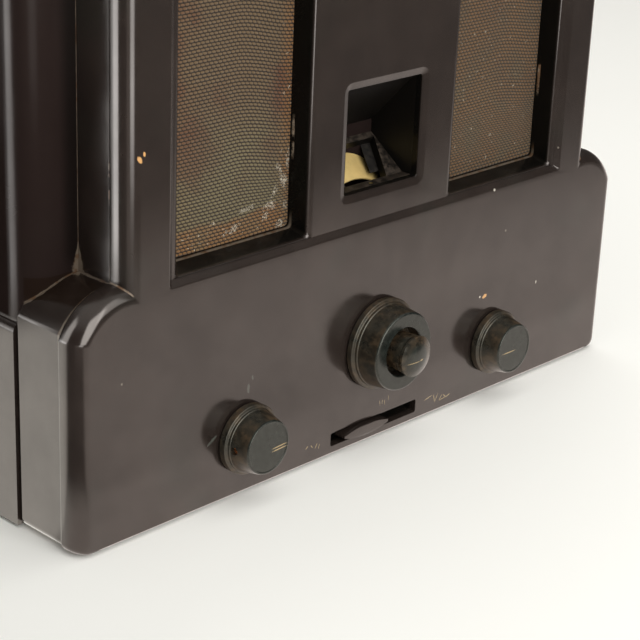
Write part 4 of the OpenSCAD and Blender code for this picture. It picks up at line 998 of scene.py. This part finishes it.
def plain(name, colour, roughness, metallic=0.0, vary=0.18, scale=60.0, bump=0.0001):
    """Metal, board, rubber or paint with uneven colour, roughness and a fine relief."""
    s = Surface(name, Metallic=metallic)
    spots = s.noise(scale, 6.0, 0.6)
    dark = [c * (1 - vary) for c in colour]
    light = [min(1.0, c * (1 + vary)) for c in colour]
    s.colour(s.mix(s.between(spots, 0.3, 0.7), dark, light))
    s.rough(s.between(s.noise(scale * 2.3, 4.0), 0.3, 0.7, roughness * 0.8, min(1.0, roughness * 1.2)))
    s.bump(s.noise(scale * 12, 3.0), bump, 0.5)
    return s.material


def dusty(name, dark, dust, amount, roughness=0.4):
    """Moulded phenolic where dust has settled on whatever faces up."""
    s = Surface(name, IOR=1.55, Specular_IOR_Level=0.22)
    normal = s.put("ShaderNodeNewGeometry").outputs["Normal"]
    up = s.between(s.parts(normal)[2], 0.2, 0.9)
    speckled = s.between(s.noise(420.0, 6.0, 0.75), 0.38, 0.66)
    veil = s.times(up, speckled, amount)
    s.colour(s.mix(veil, s.mix(s.noise(80.0, 4.0), dark, [1.7 * c for c in dark]), dust))
    s.rough(s.line(veil, 0.5, roughness))
    s.bump(s.noise(500.0, 4.0), 0.0001, 0.5)
    return s.material


def glass(name):
    s = Surface(name, Transmission_Weight=1.0, IOR=1.45)
    s.colour(s.mix(s.between(s.noise(50.0), 0.3, 0.7), (0.90, 0.93, 0.92), (1.0, 1.0, 0.98)))
    s.rough(s.between(s.noise(80.0), 0.3, 0.7, 0.02, 0.08))
    return s.material


# colour, roughness, metallic, unevenness, scale of the spots and relief, as plain() takes them
PLAIN = {
    "fibreboard": ((0.16, 0.09, 0.05), 0.75, 0.0, 0.3, 120.0, 0.0003),
    "baffle_ply": ((0.36, 0.24, 0.13), 0.8, 0.0, 0.25, 40.0, 0.0003),
    "insulating_board": ((0.16, 0.07, 0.03), 0.5, 0.0, 0.18, 150.0),
    "screw_steel": ((0.42, 0.39, 0.34), 0.45, 1.0, 0.3, 400.0),
    "screw_brass": ((0.55, 0.41, 0.18), 0.4, 1.0, 0.3, 400.0),
    "rusty_steel": ((0.33, 0.11, 0.035), 0.85, 0.1, 0.45, 700.0, 0.0003),
    "foot_rubber": ((0.03, 0.03, 0.03), 0.8),
    "gland_rubber": ((0.03, 0.03, 0.03), 0.7),
    "scale_cream": ((0.62, 0.45, 0.17), 0.5, 0.0, 0.12, 90.0),
    "disc_alloy": ((0.12, 0.10, 0.085), 0.6, 1.0, 0.2, 120.0),
    "holder_brass": ((0.55, 0.42, 0.18), 0.5, 1.0, 0.3, 200.0),
    "chassis_steel": ((0.30, 0.31, 0.30), 0.5, 0.8, 0.25, 50.0),
    "gang_alloy": ((0.48, 0.48, 0.45), 0.5, 1.0, 0.2, 120.0),
    "vane_alloy": ((0.66, 0.66, 0.63), 0.4, 1.0, 0.15, 120.0),
    "transformer_black": ((0.035, 0.033, 0.03), 0.5, 0.0, 0.4, 150.0),
    "can_alloy": ((0.60, 0.61, 0.62), 0.42, 1.0, 0.15, 60.0),
    "valve_base_brown": ((0.05, 0.025, 0.015), 0.3),
    "control_black": ((0.03, 0.03, 0.03), 0.45),
    "spindle_steel": ((0.45, 0.42, 0.36), 0.4, 1.0, 0.25, 300.0),
    "frame_black": ((0.02, 0.02, 0.02), 0.45, 0.0, 0.3),
    "cone_paper": ((0.10, 0.07, 0.045), 0.9, 0.0, 0.3, 200.0, 0.0004),
}


def dress_cad_nodes(case_material, knob_material):
    """Every CAD node that stays in view gets a finish for its record slot."""
    finishes = {name: plain(name, *look) for name, look in PLAIN.items()}
    # painted shade: the dial housing's base is darkened almost to black to stand for the shade inside the
    # window
    finishes["dial_housing"] = dusty("dial_housing", (0.0030, 0.0025, 0.0020), (0.10, 0.075, 0.055), 0.5)
    finishes["dial_black"] = dusty("dial_black", (0.0022, 0.0020, 0.0018), (0.05, 0.04, 0.03), 0.3, 0.6)
    finishes["lamp_glass"], finishes["valve_glass"] = glass("lamp_glass"), glass("valve_glass")
    finishes["phenolic_case"] = finishes["speaker_fabric"] = case_material
    finishes["phenolic_knob"] = knob_material
    slots = {p["node"]: p["material_slot"] for p in frame["record"]["subparts"]}
    for node, cad in frame["nodes"].items():
        cad.data.materials.clear()
        cad.data.materials.append(finishes[slots[node]])


# ---- floor and light
def stage_piece(name, points, faces, material, origin=Vector()):
    mesh = bpy.data.meshes.new(name)
    mesh.from_pydata([Vector(p) - origin for p in points], [], faces)
    mesh.materials.append(material)
    made = placed(name, mesh, origin)
    return made


def only_for(piece, camera=False, glossy=False):
    """Limits what sees a backdrop or card."""
    piece.visible_camera = piece.visible_transmission = camera
    piece.visible_glossy = glossy
    piece.visible_diffuse = piece.visible_shadow = False


def glow(name, colour=(1.0, 1.0, 1.0)):
    """An unlit material; returns its Surface and its strength socket."""
    s = Surface(name)
    light = s.put("ShaderNodeEmission", Color=(*colour, 1.0))
    out = s.tree.nodes["Material Output"]
    s.tree.links.new(light.outputs[0], out.inputs["Surface"])
    s.tree.nodes.remove(s.shader)
    s.material.cycles.emission_sampling = "NONE"
    return s, light.inputs["Strength"]


def make_stage():
    """A matt floor that mirrors don't see, and a dome over it that only the camera sees."""
    n, r = FLOOR_SIDES, FLOOR_R
    rim = [(r * x, r * y, 0.0) for x, y in circle(n)]
    s = Surface("floor", Roughness=0.9)
    s.colour(s.mix(s.noise(3.0), FLOOR_GREY, FLOOR_PALE))
    floor = stage_piece("floor", rim, [tuple(range(n))], s.material)
    floor.visible_glossy = False
    dome = Shell()
    rings = []
    for k in range(DOME_RINGS):
        rise = math.pi / 2 * k / DOME_RINGS
        rings.append([(math.cos(rise) * x, math.cos(rise) * y, r * math.sin(rise)) for x, y, _ in rim])
    dome.face(dome.loft(rings)[-1])
    s, strength = glow("backdrop", BACKDROP)
    strength.default_value = BACKDROP_GLOW
    only_for(stage_piece("backdrop", dome.points, dome.faces, s.material), camera=True)


def table_card():
    """What the glossy case mirrors of the table: bright close by, dark beyond its edges.

    Bearings are seen from the block's left bead, in degrees to the left of straight ahead.
    """
    s, strength = glow("table_card")
    x, y, _ = s.parts()
    left, ahead = s.less(CARD_X, x), s.less(CARD_Y, y)
    bearing = s.times(s.math("ARCTAN2", left, ahead), 180 / math.pi)
    reach = s.length(left, ahead)
    slant = s.line(x, -0.15, y)
    front = s.times(s.between(slant, *FRONT_FADE), s.between(bearing, 6.0, 40.0, 1.0, 0.15),
                    s.between(y, -0.10, -0.01, 1.0, 0.85))
    pools = {}
    for name, (start, drops, strengths) in CARD_POOLS.items():
        pool = s.between(bearing, *start)
        for low, high, remains in drops:
            pool = s.times(pool, s.between(bearing, low, high, 1.0, remains))
        pools[name] = s.times(pool, s.between(reach, *strengths))
    past_side = s.math("MINIMUM", s.add(x, (PLINTH_W / 2 - 0.5) * MM), 0.0)
    near = s.between(s.length(past_side, s.math("MINIMUM", y, 0.0)), *NEAR_FADE)
    s.tree.links.new(s.most(near, front, *pools.values()), strength)
    warm = s.mix(s.between(bearing, 80.0, 125.0), CARD_FRONT, CARD_REAR)
    white = s.math("MULTIPLY", s.most(pools["strip"], pools["lamp"]), 0.5, clamp=True)
    s.tree.links.new(s.mix(white, warm, (1.0, 1.0, 1.0)), strength.node.inputs["Color"])
    half, z = CARD_HALF, CARD_HEIGHT
    points = [(-half, -half, z), (half, -half, z), (half, half, z), (-half, half, z)]
    only_for(stage_piece("table_card", points, [(0, 1, 2, 3)], s.material, at(0, 0, 0)), glossy=True)


def make_world():
    """Dim surroundings with soft boxes and a pale ring overhead; they don't light matt surfaces."""
    world = bpy.data.worlds.new("studio")
    world.use_nodes = True
    s = Nodes(world.node_tree, "Generated")
    back = s.tree.nodes["Background"]
    x, y, height = s.parts()
    bearing = s.times(s.math("ARCTAN2", s.times(x, -1.0), s.times(y, -1.0)), 180 / math.pi)
    total = WORLD_BASE
    for low, high, edge, z0, z1, rise, gain in SOFT_BOXES:
        box = s.times(s.span(bearing, (low - edge, low), (high, high + edge)),
                      s.span(height, (z0 - rise, z0), (z1, z1 + rise)))
        total = s.add(s.times(box, gain), total)
    back.inputs["Color"].default_value = (*WORLD_COLOUR, 1.0)
    s.tree.links.new(total, back.inputs["Strength"])
    world.cycles_visibility.diffuse = False
    bpy.context.scene.world = world


def soft_light(name, place, target, size, power):
    data = bpy.data.lights.new(name, "AREA")
    data.shape = "RECTANGLE"
    data.size, data.size_y = size
    data.energy = power
    data.color = LIGHT_COLOUR
    lamp = placed(name, data, place)
    lamp.rotation_mode = "QUATERNION"
    lamp.rotation_quaternion = (Vector(target) - Vector(place)).to_track_quat("-Z", "Y")
    lamp.visible_glossy = False


make_camera()
make_stage()
make_world()
table_card()
for light_name, settings in LIGHTS.items():
    soft_light(light_name, *settings)

case_material = phenolic_case()
dress_cad_nodes(case_material, phenolic_knob("phenolic_knob", KNOB_FACE))
cabinet_shell(case_material)
volume_finish = phenolic_knob("volume_finish", KNOB_FACE, VOLUME_MARK)
small_knob("volume_knob", -KNOB_X, volume_finish, "volume", (-1, 0, 0))
tone_finish = phenolic_knob("tone_finish", KNOB_FACE, TONE_MARK)
small_knob("tone_knob", KNOB_X, tone_finish, "tone", (0, 0, -1))
tuning_knob(phenolic_knob("tuning_finish", TUNING_FACE))
trimmer_knob(phenolic_knob("trimmer_finish", TRIMMER_EDGE - TRIMMER_DOME, TRIMMER_MARK, rough=(0.10, 0.16)))
lever_knob(case_material)
speaker_cloth(speaker_fabric())

scene = bpy.context.scene
scene.view_settings.view_transform = "Standard"
scene.view_settings.look = "None"
